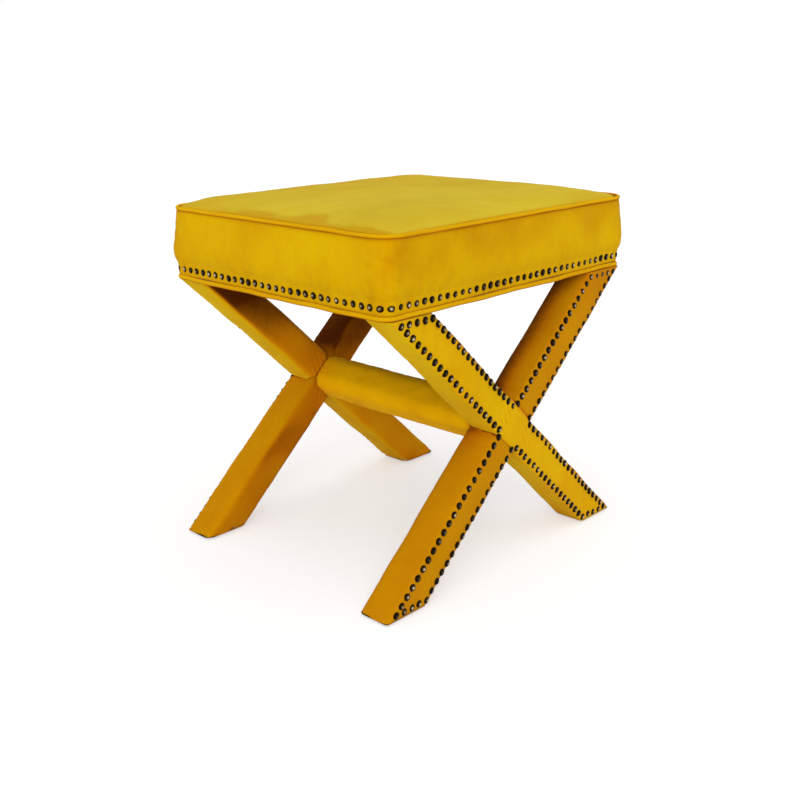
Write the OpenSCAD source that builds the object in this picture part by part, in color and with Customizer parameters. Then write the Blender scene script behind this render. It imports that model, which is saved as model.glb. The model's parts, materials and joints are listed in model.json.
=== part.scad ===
// Upholstered stool on a crossed base: a boxed seat on two half-lapped X frames
// that one padded stretcher joins. Millimetres, +Z up. The origin is on the floor
// at the centre of the footprint, X runs along the longer side of the seat, and
// the front frame is at -Y.

/* [Overall] */
// Height of the base, from the floor to the underside of the seat
base_h = 376; // [330:1:420]
// Length over the feet, along X
foot_span = 490; // [450:1:540]
// Length over the tops of the legs, along X
top_span = 472; // [430:1:500]
// Depth over the outer faces of the two X frames, along Y
base_d = 400; // [370:1:460]

/* [Seat cover] */
// Distance from the tops of the legs out to the nailed band, at each end along X
band_out_x = 7; // [2:0.5:14]
// Distance from the nailed band out to the faces of the X frames, on each side along Y
frame_out_y = 2.5; // [0:0.5:6]
// Height of the boxing, from the underside to the top seam
boxing_h = 97; // [90:1:130]
// Rise of the crowned top above the top seam
crown_h = 16; // [8:0.5:24]
// How far the boxing swells beyond its nailed band
swell = 5.5; // [2:0.5:9]
// Height of the flat band that takes the nails
band_h = 24; // [22:1:32]
// Corner radius in plan at the nailed band
band_r = 17; // [12:1:30]
// Corner radius in plan at the top seam
seam_r = 34; // [24:1:60]
// Diameter of the piping round the top seam
top_welt_d = 5; // [4:0.2:7]
// Diameter of the piping round the bottom edge
bottom_welt_d = 6.4; // [5:0.2:8]
// Width of the flange by which the bottom piping is stapled under the frame
flange_w = 22; // [14:1:34]
// Thickness of the velvet with its backing
velvet_t = 1.6; // [1:0.1:2.2]
// Thickness of the wadding between the frame and the nailed band
wadding_t = 2.4; // [1.5:0.1:4]
// Thickness of the dust cover under the seat
dust_t = 0.8; // [0.5:0.1:1.2]
// Distance from the edge of the nailed band to the edge of the dust cover
dust_in = 12; // [9:1:16]

/* [Seat frame] */
// Thickness of the frame rails
rail_t = 18; // [15:1:21]
// Height of the frame rails
rail_h = 48; // [44:1:52]
// Thickness of the plywood deck
deck_t = 9; // [6:0.5:12]
// Length of a corner block, along X
block_l = 76; // [66:1:90]
// Width of a corner block, along Y
block_w = 46; // [36:1:60]
// Height of a corner block
block_h = 32; // [24:1:34]

/* [Legs] */
// Width of an upholstered leg, square to its length
leg_w = 49; // [44:0.5:56]
// Depth of an upholstered leg, along Y
leg_t = 50; // [44:0.5:56]
// Radius of the long edges of a leg cover
edge_r = 4; // [2.5:0.5:6]
// Thickness of the foam wrapped round a leg
leg_pad_t = 3; // [2:0.5:4]

/* [Stretcher] */
// Side of the padded stretcher's square section, which stands on its corner
stretcher_w = 56; // [50:0.5:60]
// Radius of the long edges of the stretcher cover
stretcher_r = 18; // [11:0.5:22]
// Thickness of the foam wrapped round the stretcher
stretcher_pad_t = 6; // [4:0.5:8]

/* [Nails] */
// Diameter of a nail head
nail_d = 9.8; // [8:0.5:11.5]
// Height of a nail head
nail_h = 2.4; // [2:0.1:4]
// Distance from nail to nail on the seat, which each row rounds to fit
nail_pitch = 13.5; // [12.5:0.1:18]
// Distance from nail to nail on the legs, which each row rounds to fit
leg_pitch = 13; // [12:0.1:18]
// Distance from a leg's long edges to its rows of nails
nail_inset = 5.8; // [5.5:0.1:8]
// Distance from the top end of a leg to its row of nails
nail_top = 6.5; // [6:0.5:14]
// Distance from the foot end of a leg to its row of nails
nail_foot = 7; // [6:0.5:14]
// Height of the seat nails above the underside
nail_rise = 15.8; // [14:0.2:18]
// Distance from the middle of a seat corner to the nearest nail
nail_corner = 6.5; // [6:0.5:12]

/* [Hardware] */
// Diameter of the bolts
bolt_d = 8; // [6:0.5:8]
// Depth of a hanger bolt in its leg
leg_bolt_l = 38; // [28:1:40]
// Distance from the middle of a leg's top to its bolt, along X
bolt_in_x = 17; // [12:0.5:19]
// Distance from the middle of a leg's top to its bolt, along Y
bolt_in_y = 12; // [11:0.5:14]
// Diameter of the washers
washer_d = 16; // [14:0.5:17]
// Thickness of the washers
washer_t = 1.6; // [1:0.1:2]
// Width of a nut across its flats
nut_w = 13; // [11:0.5:14]
// Height of a nut
nut_h = 6.5; // [4:0.5:8]
// Diameter of a stretcher bolt's head
head_d = 16; // [13:0.5:18]
// Height of a stretcher bolt's head
head_h = 5; // [3:0.5:7]
// Diameter of the threaded inserts in the stretcher
insert_d = 12; // [10:0.5:14]
// Length of the threaded inserts in the stretcher
insert_l = 22; // [16:1:30]
// Diameter of the dowels between a frame and the stretcher
dowel_d = 8; // [6:0.5:10]
// Length of the dowels
dowel_l = 30; // [20:1:36]
// Diameter of a deck screw's head
screw_head_d = 8; // [6:0.5:9]
// Diameter of a deck screw's shank
screw_d = 4; // [3:0.5:5]
// Length of a deck screw
screw_l = 32; // [22:1:40]

/* [Glides] */
// Diameter of a foot glide
glide_d = 22; // [16:1:28]
// Height of a foot glide
glide_h = 3; // [2:0.5:5]
// Diameter of a glide's nail
glide_pin_d = 3; // [2:0.5:4]
// Length of a glide's nail
glide_pin_l = 16; // [10:1:22]

/* [Hidden] */

// Sides of a true circle
fine = 48;
// Segments of a seat corner
corner_steps = 10;
// Gap round a fastener in its hole
fit_gap = 0.2;
// Gap between a soft form and its neighbour
soft_gap = 0.3;
// Overrun of every cut
over = 1;
// Least height between two rings of a soft form
ring_gap = 0.5;
// Distance from a corner of the cross to its first nail, as a share of the pitch
first_nail_share = 0.6;

// The two X frames and the two legs in each: +1 is leg a, which falls towards +X
FRONT = -1;
REAR = 1;
LEG_A = 1;
LEG_B = -1;

// Legs: angle from the floor, width along X, and the height at which they cross
leg_h = base_h - glide_h;
mean_span = (foot_span + top_span) / 2;
leg_angle = atan2(leg_h, mean_span) + asin(leg_w / norm([leg_h, mean_span]));
leg_run = leg_w / sin(leg_angle);
foot_x = (foot_span - leg_run) / 2;
top_x = (top_span - leg_run) / 2;
cross_z = glide_h + leg_h * foot_x / (foot_x + top_x);
leg_y = (base_d - leg_t) / 2;
leg_stock = 2 * norm([leg_h, mean_span]);

// Layers of a leg and of the stretcher, from the outside in
leg_wrap = velvet_t + leg_pad_t;
core_w = leg_w - 2 * leg_wrap;
core_t = leg_t - 2 * leg_wrap;
stretcher_wrap = velvet_t + stretcher_pad_t;
stretcher_l = base_d - 2 * leg_t;
stretcher_core_w = stretcher_w - 2 * stretcher_wrap;
stretcher_core_r = stretcher_r - stretcher_wrap;

// Seat: length and depth at its nailed band, then levels from the underside up
seat_w = top_span + 2 * band_out_x;
seat_d = base_d - 2 * frame_out_y;
rail_z = base_h + dust_t + velvet_t;
deck_z = rail_z + rail_h;
foam_z = deck_z + deck_t;
band_z = base_h + band_h;
seam_z = base_h + boxing_h;
boxing_lo = base_h + bottom_welt_d + fit_gap;
boxing_hi = seam_z - top_welt_d / 2 - fit_gap;
rail_in = velvet_t + wadding_t;
frame_w = seat_w - 2 * rail_in;
frame_d = seat_d - 2 * rail_in;
frame_r = band_r - rail_in;

// Swell of the boxing, as a share of its most, by share of the height from band to seam
swell_shares = [
    [0, 0], [0.04, 0.36], [0.09, 0.68], [0.15, 0.87], [0.23, 0.97],
    [0.36, 1], [0.66, 1], [0.84, 0.96], [1, 0.87],
];
// Rings of the crowned top, as shares of the way from the rim to the middle
crown_shares = [0, 0.03, 0.07, 0.12, 0.19, 0.3, 0.5, 0.8];
// Steepness of the crown near its rim
crown_power = 7;
// Part of the top piping that stands out beyond the boxing
welt_out_share = 0.3;
rim_in = top_welt_d * (1 - welt_out_share) + fit_gap;

// Fasteners
bolt_x = top_x - bolt_in_x;
bolt_y = leg_y - bolt_in_y;
bolt_tip_z = rail_z + block_h + washer_t + nut_h + bolt_d / 4;
head_y = core_t / 2 - head_h - fit_gap;
dowel_off = core_w / 3;
screw_in = rail_t / 2;
screw_shares = [-0.8, 0, 0.8];

velvet = [0.84, 0.68, 0.06];
velvet_side = [0.8, 0.6, 0.02];
piping = [0.86, 0.7, 0.08];
timber = [0.78, 0.62, 0.42];
plywood = [0.82, 0.7, 0.52];
foam = [0.95, 0.93, 0.82];
wadding = [0.95, 0.95, 0.93];
bronze = [0.25, 0.2, 0.16];
steel = [0.72, 0.73, 0.75];
black_cloth = [0.12, 0.12, 0.12];
nylon = [0.2, 0.2, 0.2];

// General shapes

module rounded_rect(w, d, r) {
    square([w - 2 * r, d], center = true);
    square([w, d - 2 * r], center = true);
    for (x = [-1, 1], y = [-1, 1])
        translate([x * (w / 2 - r), y * (d / 2 - r)]) circle(r = r, $fn = fine);
}

// One ring of points round a rectangle with rounded corners
function ring(hx, hy, r, z) = [
    for (c = [0 : 3], i = [0 : corner_steps])
        let (a = 90 * (c + i / corner_steps),
             sx = (c == 0 || c == 3) ? 1 : -1,
             sy = (c < 2) ? 1 : -1)
        [sx * (hx - r) + r * cos(a), sy * (hy - r) + r * sin(a), z]
];

// Triangles that join ring k to ring m, both of n points
function band_faces(k, m, n) = [
    for (i = [0 : n - 1]) each [
        [k * n + i, m * n + i, m * n + (i + 1) % n],
        [k * n + i, m * n + (i + 1) % n, k * n + (i + 1) % n],
    ]
];

// A tube-like wall: the rings go up the outside and down the inside, and close
module wall(rings) {
    n = len(rings[0]);
    count = len(rings);
    polyhedron(
        points = [for (r = rings) each r],
        faces = [for (k = [0 : count - 1]) each band_faces(k, (k + 1) % count, n)]
    );
}

// A body of rings from bottom to top, closed by a fan at each end
module body(rings, lo, hi) {
    n = len(rings[0]);
    last = len(rings) - 1;
    lo_i = n * len(rings);
    polyhedron(
        points = [each [for (r = rings) each r], lo, hi],
        faces = [
            for (k = [0 : last - 1]) each band_faces(k, k + 1, n),
            for (i = [0 : n - 1]) [lo_i, i, (i + 1) % n],
            for (i = [0 : n - 1]) [lo_i + 1, last * n + (i + 1) % n, last * n + i],
        ]
    );
}

// Seat forms

function level_share(z) = (z - band_z) / (seam_z - band_z);
function swell_at(z) = swell * lookup(level_share(z), swell_shares);
function radius_at(z) = band_r + (seam_r - band_r) * max(0, min(1, level_share(z)));

// Ring on the boxing's outer face at one height, moved inwards
function seat_ring(z, inset) = ring(
    seat_w / 2 + swell_at(z) - inset,
    seat_d / 2 + swell_at(z) - inset,
    radius_at(z) - inset,
    z
);

// Heights of the rings between two levels, both included
function levels(lo, hi) = [
    lo,
    for (s = swell_shares)
        let (z = band_z + s[0] * (seam_z - band_z))
        if (z > lo + ring_gap && z < hi - ring_gap) z,
    hi
];

function reversed(list) = [for (i = [len(list) - 1 : -1 : 0]) list[i]];

// Height of the crown above the seam at a share of the way from rim to middle
function crown_at(s) = crown_h * (1 - pow(1 - s, crown_power));

// Rings of the crowned top from the rim to the middle, lowered by drop
function crown_rings(inset, drop) = [
    for (s = crown_shares)
        let (hx = seat_w / 2 + swell_at(seam_z) - rim_in - inset,
             hy = seat_d / 2 + swell_at(seam_z) - rim_in - inset,
             r = seam_r - rim_in - inset)
        ring(hx * (1 - s), hy * (1 - s), r * (1 - s), seam_z + crown_at(s) - drop)
];

module frame_outline() {
    rounded_rect(frame_w, frame_d, frame_r);
}

// A closed loop of round piping in plan, its centre line at height z
module piping_loop(hx, hy, r, d, z) {
    for (x = [-1, 1])
        translate([x * hx, 0, z]) rotate([90, 0, 0])
            cylinder(d = d, h = 2 * (hy - r), center = true, $fn = fine);
    for (y = [-1, 1])
        translate([0, y * hy, z]) rotate([0, 90, 0])
            cylinder(d = d, h = 2 * (hx - r), center = true, $fn = fine);
    for (c = [0 : 3])
        translate([(c == 0 || c == 3 ? 1 : -1) * (hx - r), (c < 2 ? 1 : -1) * (hy - r), z])
            rotate([0, 0, 90 * c])
                rotate_extrude(angle = 90, $fn = fine)
                    translate([r, 0]) circle(d = d, $fn = fine);
}

// Nail heads

nail_ball_r = (nail_h * nail_h + nail_d * nail_d / 4) / (2 * nail_h);

// A domed head on the plane z = 0
module nail_head() {
    intersection() {
        translate([0, 0, nail_h - nail_ball_r]) sphere(r = nail_ball_r, $fn = fine);
        cylinder(d = nail_d + over, h = nail_h + over, $fn = fine);
    }
}

// A row of nails along one side of the seat, w long and at distance d / 2, facing -Y
module seat_nail_row(w, d) {
    flat = w / 2 - band_r;
    reach = flat + band_r * PI / 4 - nail_corner;
    count = round(2 * reach / nail_pitch);
    for (i = [0 : count]) {
        u = reach * (2 * i / count - 1);
        turn = (max(0, abs(u) - flat) / band_r) * 180 / PI * sign(u);
        along = min(flat, abs(u)) * sign(u) + band_r * sin(turn);
        translate([along, -(d / 2 - band_r) - band_r * cos(turn), base_h + nail_rise])
            rotate([90, 0, turn]) nail_head();
    }
}

// Corners of the nail rows on one arm, from the cross to the end and back to the cross
row_half = leg_w / 2 - nail_inset;

// Place on a long row of leg a: edge +1 is its upper row, and z is the height over the cross
function row_x(edge, z) = (edge * row_half - z * cos(leg_angle)) / sin(leg_angle);

// Nails from the cross to an end corner: the last is on the corner, the first clear of the cross
function row_points(from, to) =
    let (span = norm(to - from),
         first = max(first_nail_share * leg_pitch, (nail_d / 2 + fit_gap) / sin(leg_angle)),
         count = max(1, round((span - first) / leg_pitch)))
    [for (i = [0 : count]) to + (from - to) * (i * (span - first) / count / span)];

// Nails between two end corners, without the corners
function end_points(from, to) =
    let (count = max(1, round(norm(to - from) / leg_pitch)))
    [for (i = [1 : count - 1]) from + (to - from) * i / count];

// Nails of one arm of leg a, as X and height over the cross: up is +1 for its upper arm
function arm_points(up) =
    let (z = up > 0 ? base_h - nail_top - cross_z : glide_h + nail_foot - cross_z,
         side_corner = [-up * row_half / sin(leg_angle), 0],
         mid_corner = [0, up * row_half / cos(leg_angle)],
         outer = [row_x(-up, z), z],
         inner = [row_x(up, z), z])
    concat(row_points(side_corner, outer), row_points(mid_corner, inner),
           end_points(outer, inner));

module leg_nails() {
    for (up = [-1, 1], p = arm_points(up), side = [-1, 1])
        translate([side * p[0], -leg_t / 2, cross_z + p[1]]) rotate([90, 0, 0]) nail_head();
}

// Leg parts, drawn with the frame's middle plane at Y = 0 and its outer face at -Y

module along_leg(leg) {
    translate([0, 0, cross_z]) rotate([0, leg * (90 + leg_angle), 0]) children();
}

// A bar of the leg's slant between two heights
module leg_bar(leg, w, t, r, lo, hi) {
    intersection() {
        along_leg(leg)
            linear_extrude(height = leg_stock, center = true)
                if (r > 0) rounded_rect(w, t, r); else square([w, t], center = true);
        translate([-foot_span, -leg_t, lo]) cube([2 * foot_span, 2 * leg_t, hi - lo]);
    }
}

// The room that the other leg takes at the cross: leg a keeps its outer half, leg b its inner
module lap_room(leg) {
    along_leg(-leg)
        translate([-leg_w / 2, leg == LEG_A ? 0 : -leg_t, -leg_stock / 2])
            cube([leg_w, leg_t, leg_stock]);
}

// Room for the stretcher's end in the foam and the cover of leg b
module stretcher_room() {
    translate([0, 0, cross_z]) rotate([90, 45, 0])
        linear_extrude(height = leg_t)
            rounded_rect(stretcher_core_w, stretcher_core_w, stretcher_core_r);
}

module hanger_room(leg) {
    translate([-leg * bolt_x, bolt_in_y, base_h - leg_bolt_l])
        cylinder(d = bolt_d + 2 * fit_gap, h = leg_bolt_l + over, $fn = fine);
}

module glide_room(leg) {
    translate([leg * foot_x, 0, glide_h - over])
        cylinder(d = glide_pin_d + 2 * fit_gap, h = glide_pin_l + over, $fn = fine);
}

// Holes through the middle of the cross, square to the frame
module cross_holes() {
    translate([0, 0, cross_z]) rotate([90, 0, 0]) {
        cylinder(d = bolt_d + 2 * fit_gap, h = 2 * leg_t, center = true, $fn = fine);
        translate([0, 0, head_y])
            cylinder(d = head_d + 2 * fit_gap, h = leg_t, $fn = fine);
        for (s = [-1, 1])
            rotate([0, 0, 45]) translate([s * dowel_off, 0, -core_t / 2 - over])
                cylinder(d = dowel_d + 2 * fit_gap, h = dowel_l / 2 + over, $fn = fine);
    }
}

module leg_core(leg) {
    difference() {
        leg_bar(leg, core_w, core_t, 0, glide_h + velvet_t, base_h);
        lap_room(leg);
        hanger_room(leg);
        glide_room(leg);
        cross_holes();
    }
}

module leg_foam(leg) {
    difference() {
        leg_bar(leg, leg_w - 2 * velvet_t, leg_t - 2 * velvet_t, edge_r - velvet_t,
                glide_h + velvet_t, base_h);
        leg_bar(leg, core_w, core_t, 0, glide_h, base_h + over);
        lap_room(leg);
        if (leg == LEG_B) mirror([0, 1, 0]) stretcher_room();
    }
}

module leg_cover(leg) {
    difference() {
        leg_bar(leg, leg_w, leg_t, edge_r, glide_h, base_h);
        leg_bar(leg, leg_w - 2 * velvet_t, leg_t - 2 * velvet_t, edge_r - velvet_t,
                glide_h + velvet_t, base_h + over);
        lap_room(leg);
        glide_room(leg);
        if (leg == LEG_B) mirror([0, 1, 0]) stretcher_room();
    }
}

// Moves a part of an X frame to the front, or mirrors it to the rear
module frame_place(side) {
    mirror([0, side == REAR ? 1 : 0, 0]) translate([0, -leg_y, 0]) children();
}

// Seat frame

module end_rail(side) {
    intersection() {
        translate([0, 0, rail_z]) linear_extrude(height = rail_h) frame_outline();
        translate([-frame_w, side > 0 ? frame_d / 2 - rail_t : -frame_d / 2, base_h])
            cube([2 * frame_w, rail_t, boxing_h]);
    }
}

module side_rail(side) {
    translate([side > 0 ? frame_w / 2 - rail_t : -frame_w / 2, rail_t - frame_d / 2, rail_z])
        cube([rail_t, frame_d - 2 * rail_t, rail_h]);
}

module screw_holes() {
    for (x = screw_shares, y = [-1, 1])
        translate([x * frame_w / 2, y * (frame_d / 2 - screw_in), 0]) screw_shape(fit_gap);
}

// A countersunk screw whose head is flush with the deck, grown by gap
module screw_shape(gap) {
    head_l = (screw_head_d - screw_d) / 2;
    translate([0, 0, foam_z - screw_l])
        cylinder(d = screw_d + 2 * gap, h = screw_l, $fn = fine);
    translate([0, 0, foam_z - head_l])
        cylinder(d1 = screw_d + 2 * gap, d2 = screw_head_d + 2 * gap, h = head_l, $fn = fine);
}

module rail_with_holes(side) {
    color(timber) difference() {
        end_rail(side);
        screw_holes();
    }
}

module frame_rail_front() { rail_with_holes(FRONT); }
module frame_rail_rear() { rail_with_holes(REAR); }
module frame_rail_left() { color(timber) side_rail(-1); }
module frame_rail_right() { color(timber) side_rail(1); }

// Outline of a corner block as shares of its length and width, from the rails' corner
block_shares = [[0, 0], [1, 0], [1, 0.45], [0.72, 1], [0, 1]];

module corner_block() {
    corner = [frame_w / 2 - rail_t, frame_d / 2 - rail_t];
    difference() {
        translate([0, 0, rail_z]) linear_extrude(height = block_h)
            polygon([for (s = block_shares) corner - [s[0] * block_l, s[1] * block_w]]);
        translate([bolt_x, bolt_y, base_h])
            cylinder(d = bolt_d + 2 * fit_gap, h = boxing_h, $fn = fine);
    }
}

module four_corners() {
    for (x = [0, 1], y = [0, 1]) mirror([x, 0, 0]) mirror([0, y, 0]) children();
}

module corner_blocks() { color(timber) four_corners() corner_block(); }

module seat_deck() {
    color(plywood) difference() {
        translate([0, 0, deck_z]) linear_extrude(height = deck_t) frame_outline();
        screw_holes();
    }
}

module deck_screws() {
    color(steel)
        for (x = screw_shares, y = [-1, 1])
            translate([x * frame_w / 2, y * (frame_d / 2 - screw_in), 0]) screw_shape(0);
}

// Seat upholstery

module frame_wadding() {
    lo = boxing_lo;
    hi = foam_z;
    zs = levels(lo, hi);
    inner_r = frame_r + soft_gap;
    color(wadding) wall([
        for (z = zs) seat_ring(z, velvet_t + soft_gap),
        for (z = [hi, lo])
            ring(frame_w / 2 + soft_gap, frame_d / 2 + soft_gap, inner_r, z),
    ]);
}

module seat_foam() {
    under = velvet_t + soft_gap;
    shoulder_z = seam_z - top_welt_d;
    color(foam) body(
        concat([for (z = levels(foam_z, shoulder_z)) seat_ring(z, under)],
               crown_rings(soft_gap, under)),
        [0, 0, foam_z], [0, 0, seam_z + crown_h - under]
    );
}

module seat_boxing() {
    zs = levels(boxing_lo, boxing_hi);
    color(velvet_side) wall([
        for (z = zs) seat_ring(z, 0),
        for (z = reversed(zs)) seat_ring(z, velvet_t),
    ]);
}

module seat_top_panel() {
    upper = crown_rings(0, 0);
    lower = crown_rings(0, velvet_t);
    color(velvet) body(
        concat(reversed(lower), upper),
        [0, 0, seam_z + crown_h - velvet_t], [0, 0, seam_z + crown_h]
    );
}

module top_welt() {
    inset = top_welt_d * (0.5 - welt_out_share);
    color(piping) piping_loop(
        seat_w / 2 + swell_at(seam_z) - inset, seat_d / 2 + swell_at(seam_z) - inset,
        seam_r - inset, top_welt_d, seam_z
    );
}

// Bottom piping, with the flange by which it is stapled under the rails
module bottom_welt() {
    centre_in = rail_in - bottom_welt_d / 2 - fit_gap;
    color(piping) {
        piping_loop(seat_w / 2 - centre_in, seat_d / 2 - centre_in, band_r - centre_in,
                    bottom_welt_d, base_h + bottom_welt_d / 2);
        translate([0, 0, base_h + dust_t]) linear_extrude(height = velvet_t)
            difference() {
                rounded_rect(seat_w - 2 * centre_in, seat_d - 2 * centre_in, band_r - centre_in);
                square([frame_w - 2 * flange_w, frame_d - 2 * flange_w], center = true);
            }
    }
}

module dust_cover() {
    color(black_cloth) difference() {
        translate([0, 0, base_h]) linear_extrude(height = dust_t)
            rounded_rect(seat_w - 2 * dust_in, seat_d - 2 * dust_in, band_r - dust_in / 2);
        four_corners() translate([bolt_x, bolt_y, base_h - over])
            cylinder(d = bolt_d + 2 * fit_gap, h = dust_t + 2 * over, $fn = fine);
    }
}

module seat_nails_front() { color(bronze) seat_nail_row(seat_w, seat_d); }
module seat_nails_rear() { color(bronze) rotate([0, 0, 180]) seat_nail_row(seat_w, seat_d); }
module seat_nails_left() { color(bronze) rotate([0, 0, -90]) seat_nail_row(seat_d, seat_w); }
module seat_nails_right() { color(bronze) rotate([0, 0, 90]) seat_nail_row(seat_d, seat_w); }

// X frames

module front_leg_a_core() { color(timber) frame_place(FRONT) leg_core(LEG_A); }
module front_leg_a_foam() { color(foam) frame_place(FRONT) leg_foam(LEG_A); }
module front_leg_a_cover() { color(velvet) frame_place(FRONT) leg_cover(LEG_A); }
module front_leg_b_core() { color(timber) frame_place(FRONT) leg_core(LEG_B); }
module front_leg_b_foam() { color(foam) frame_place(FRONT) leg_foam(LEG_B); }
module front_leg_b_cover() { color(velvet_side) frame_place(FRONT) leg_cover(LEG_B); }
module front_leg_nails() { color(bronze) frame_place(FRONT) leg_nails(); }
module rear_leg_a_core() { color(timber) frame_place(REAR) leg_core(LEG_A); }
module rear_leg_a_foam() { color(foam) frame_place(REAR) leg_foam(LEG_A); }
module rear_leg_a_cover() { color(velvet) frame_place(REAR) leg_cover(LEG_A); }
module rear_leg_b_core() { color(timber) frame_place(REAR) leg_core(LEG_B); }
module rear_leg_b_foam() { color(foam) frame_place(REAR) leg_foam(LEG_B); }
module rear_leg_b_cover() { color(velvet_side) frame_place(REAR) leg_cover(LEG_B); }
module rear_leg_nails() { color(bronze) frame_place(REAR) leg_nails(); }

// Stretcher

module stretcher_bar(w, l, r) {
    translate([0, 0, cross_z]) rotate([90, 45, 0])
        linear_extrude(height = l, center = true) rounded_rect(w, w, r);
}

module both_ends() {
    for (side = [FRONT, REAR])
        frame_place(side) translate([0, 0, cross_z]) rotate([-90, 0, 0]) children();
}

module stretcher_core() {
    color(timber) difference() {
        stretcher_bar(stretcher_core_w, stretcher_l + 2 * leg_wrap, stretcher_core_r);
        both_ends() translate([0, 0, core_t / 2]) {
            cylinder(d = insert_d + 2 * fit_gap, h = 2 * insert_l, center = true, $fn = fine);
            for (s = [-1, 1])
                rotate([0, 0, -45]) translate([s * dowel_off, 0, -over])
                    cylinder(d = dowel_d + 2 * fit_gap, h = dowel_l / 2 + over, $fn = fine);
        }
    }
}

module stretcher_foam() {
    color(foam) difference() {
        stretcher_bar(stretcher_w - 2 * velvet_t, stretcher_l, stretcher_r - velvet_t);
        stretcher_bar(stretcher_core_w, stretcher_l + over, stretcher_core_r);
    }
}

module stretcher_cover() {
    color(velvet) difference() {
        stretcher_bar(stretcher_w, stretcher_l, stretcher_r);
        stretcher_bar(stretcher_w - 2 * velvet_t, stretcher_l + over, stretcher_r - velvet_t);
    }
}

module stretcher_dowels() {
    color(timber) both_ends()
        for (s = [-1, 1])
            rotate([0, 0, -45]) translate([s * dowel_off, 0, core_t / 2])
                cylinder(d = dowel_d, h = dowel_l - fit_gap, center = true, $fn = fine);
}

module stretcher_bolts() {
    color(steel) both_ends() {
        translate([0, 0, -core_t / 2]) cylinder(d = head_d, h = head_h, $fn = fine);
        translate([0, 0, -core_t / 2])
            cylinder(d = bolt_d, h = core_t + insert_l - fit_gap, $fn = fine);
    }
}

module stretcher_inserts() {
    color(steel) both_ends() translate([0, 0, core_t / 2]) difference() {
        cylinder(d = insert_d, h = insert_l, $fn = fine);
        translate([0, 0, -over])
            cylinder(d = bolt_d + 2 * fit_gap, h = insert_l + 2 * over, $fn = fine);
    }
}

// Seat bolts and glides

module leg_bolts() {
    color(steel) four_corners()
        translate([bolt_x, bolt_y, base_h - leg_bolt_l])
            cylinder(d = bolt_d, h = bolt_tip_z - base_h + leg_bolt_l, $fn = fine);
}

module leg_washers() {
    color(steel) four_corners() translate([bolt_x, bolt_y, rail_z + block_h]) difference() {
        cylinder(d = washer_d, h = washer_t, $fn = fine);
        translate([0, 0, -over])
            cylinder(d = bolt_d + 2 * fit_gap, h = washer_t + 2 * over, $fn = fine);
    }
}

module leg_nuts() {
    color(steel) four_corners()
        translate([bolt_x, bolt_y, rail_z + block_h + washer_t]) difference() {
            cylinder(d = nut_w / cos(30), h = nut_h, $fn = 6);
            translate([0, 0, -over])
                cylinder(d = bolt_d + 2 * fit_gap, h = nut_h + 2 * over, $fn = fine);
        }
}

module foot_glides() {
    color(nylon) for (side = [-1, 1], end = [-1, 1])
        translate([side * foot_x, end * leg_y, 0]) {
            cylinder(d = glide_d, h = glide_h, $fn = fine);
            cylinder(d = glide_pin_d, h = glide_h + glide_pin_l - fit_gap, $fn = fine);
        }
}

frame_rail_front();
frame_rail_rear();
frame_rail_left();
frame_rail_right();
corner_blocks();
seat_deck();
deck_screws();
frame_wadding();
seat_foam();
seat_boxing();
seat_top_panel();
top_welt();
bottom_welt();
dust_cover();
seat_nails_front();
seat_nails_rear();
seat_nails_left();
seat_nails_right();
front_leg_a_core();
front_leg_a_foam();
front_leg_a_cover();
front_leg_b_core();
front_leg_b_foam();
front_leg_b_cover();
front_leg_nails();
rear_leg_a_core();
rear_leg_a_foam();
rear_leg_a_cover();
rear_leg_b_core();
rear_leg_b_foam();
rear_leg_b_cover();
rear_leg_nails();
stretcher_core();
stretcher_foam();
stretcher_cover();
stretcher_dowels();
stretcher_bolts();
stretcher_inserts();
leg_bolts();
leg_washers();
leg_nuts();
foot_glides();
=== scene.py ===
"""Looks of an upholstered stool: a boxed seat on two half-lapped X frames joined by a stretcher."""

import json
import math

import bmesh
import bpy
import numpy as np
from mathutils import Matrix, Vector


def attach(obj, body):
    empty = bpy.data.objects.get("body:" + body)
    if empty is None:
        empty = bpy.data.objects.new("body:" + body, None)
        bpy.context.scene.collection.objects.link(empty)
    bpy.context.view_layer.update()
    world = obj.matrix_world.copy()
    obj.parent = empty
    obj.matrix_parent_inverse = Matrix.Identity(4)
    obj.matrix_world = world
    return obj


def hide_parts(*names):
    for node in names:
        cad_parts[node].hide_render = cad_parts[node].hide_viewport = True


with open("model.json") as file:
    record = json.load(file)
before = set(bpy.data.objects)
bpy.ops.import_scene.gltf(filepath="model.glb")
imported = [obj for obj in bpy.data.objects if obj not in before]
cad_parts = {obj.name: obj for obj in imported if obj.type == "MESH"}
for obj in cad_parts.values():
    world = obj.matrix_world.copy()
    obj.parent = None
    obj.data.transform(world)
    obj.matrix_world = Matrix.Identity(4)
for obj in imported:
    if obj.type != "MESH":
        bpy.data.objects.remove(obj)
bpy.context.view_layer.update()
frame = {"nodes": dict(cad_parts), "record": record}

MM = 0.001

# Sizes of the part, in millimetres
BASE_H = 376.0
FOOT_SPAN, TOP_SPAN, BASE_D = 490.0, 472.0, 400.0
SEAT_W, SEAT_D = 486.0, 395.0
BOXING_H, CROWN_H, CROWN_POWER, SWELL, BAND_H = 97.0, 16.0, 7, 5.5, 24.0
BAND_R, SEAM_R = 17.0, 34.0
TOP_WELT_D, BOTTOM_WELT_D, FLANGE_W = 5.0, 6.4, 22.0
VELVET_T, WADDING_T, DUST_T, DUST_IN = 1.6, 2.4, 0.8, 12.0
LEG_W, LEG_T, EDGE_R, FAR_EDGE_R = 49.0, 50.0, 3.6, 9.0
STRETCHER_W, STRETCHER_R = 56.0, 18.5
NAIL_PITCH, LEG_PITCH, NAIL_INSET = 13.5, 13.0, 5.8
NAIL_TOP, NAIL_FOOT, NAIL_RISE, NAIL_CORNER = 6.5, 7.0, 15.8, 6.5
NAIL_D, NAIL_H, FIRST_NAIL_SHARE = 9.8, 2.4, 0.6
NAIL_LEAN, REAR_NAIL_SINK = 0.11, 0.7
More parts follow.
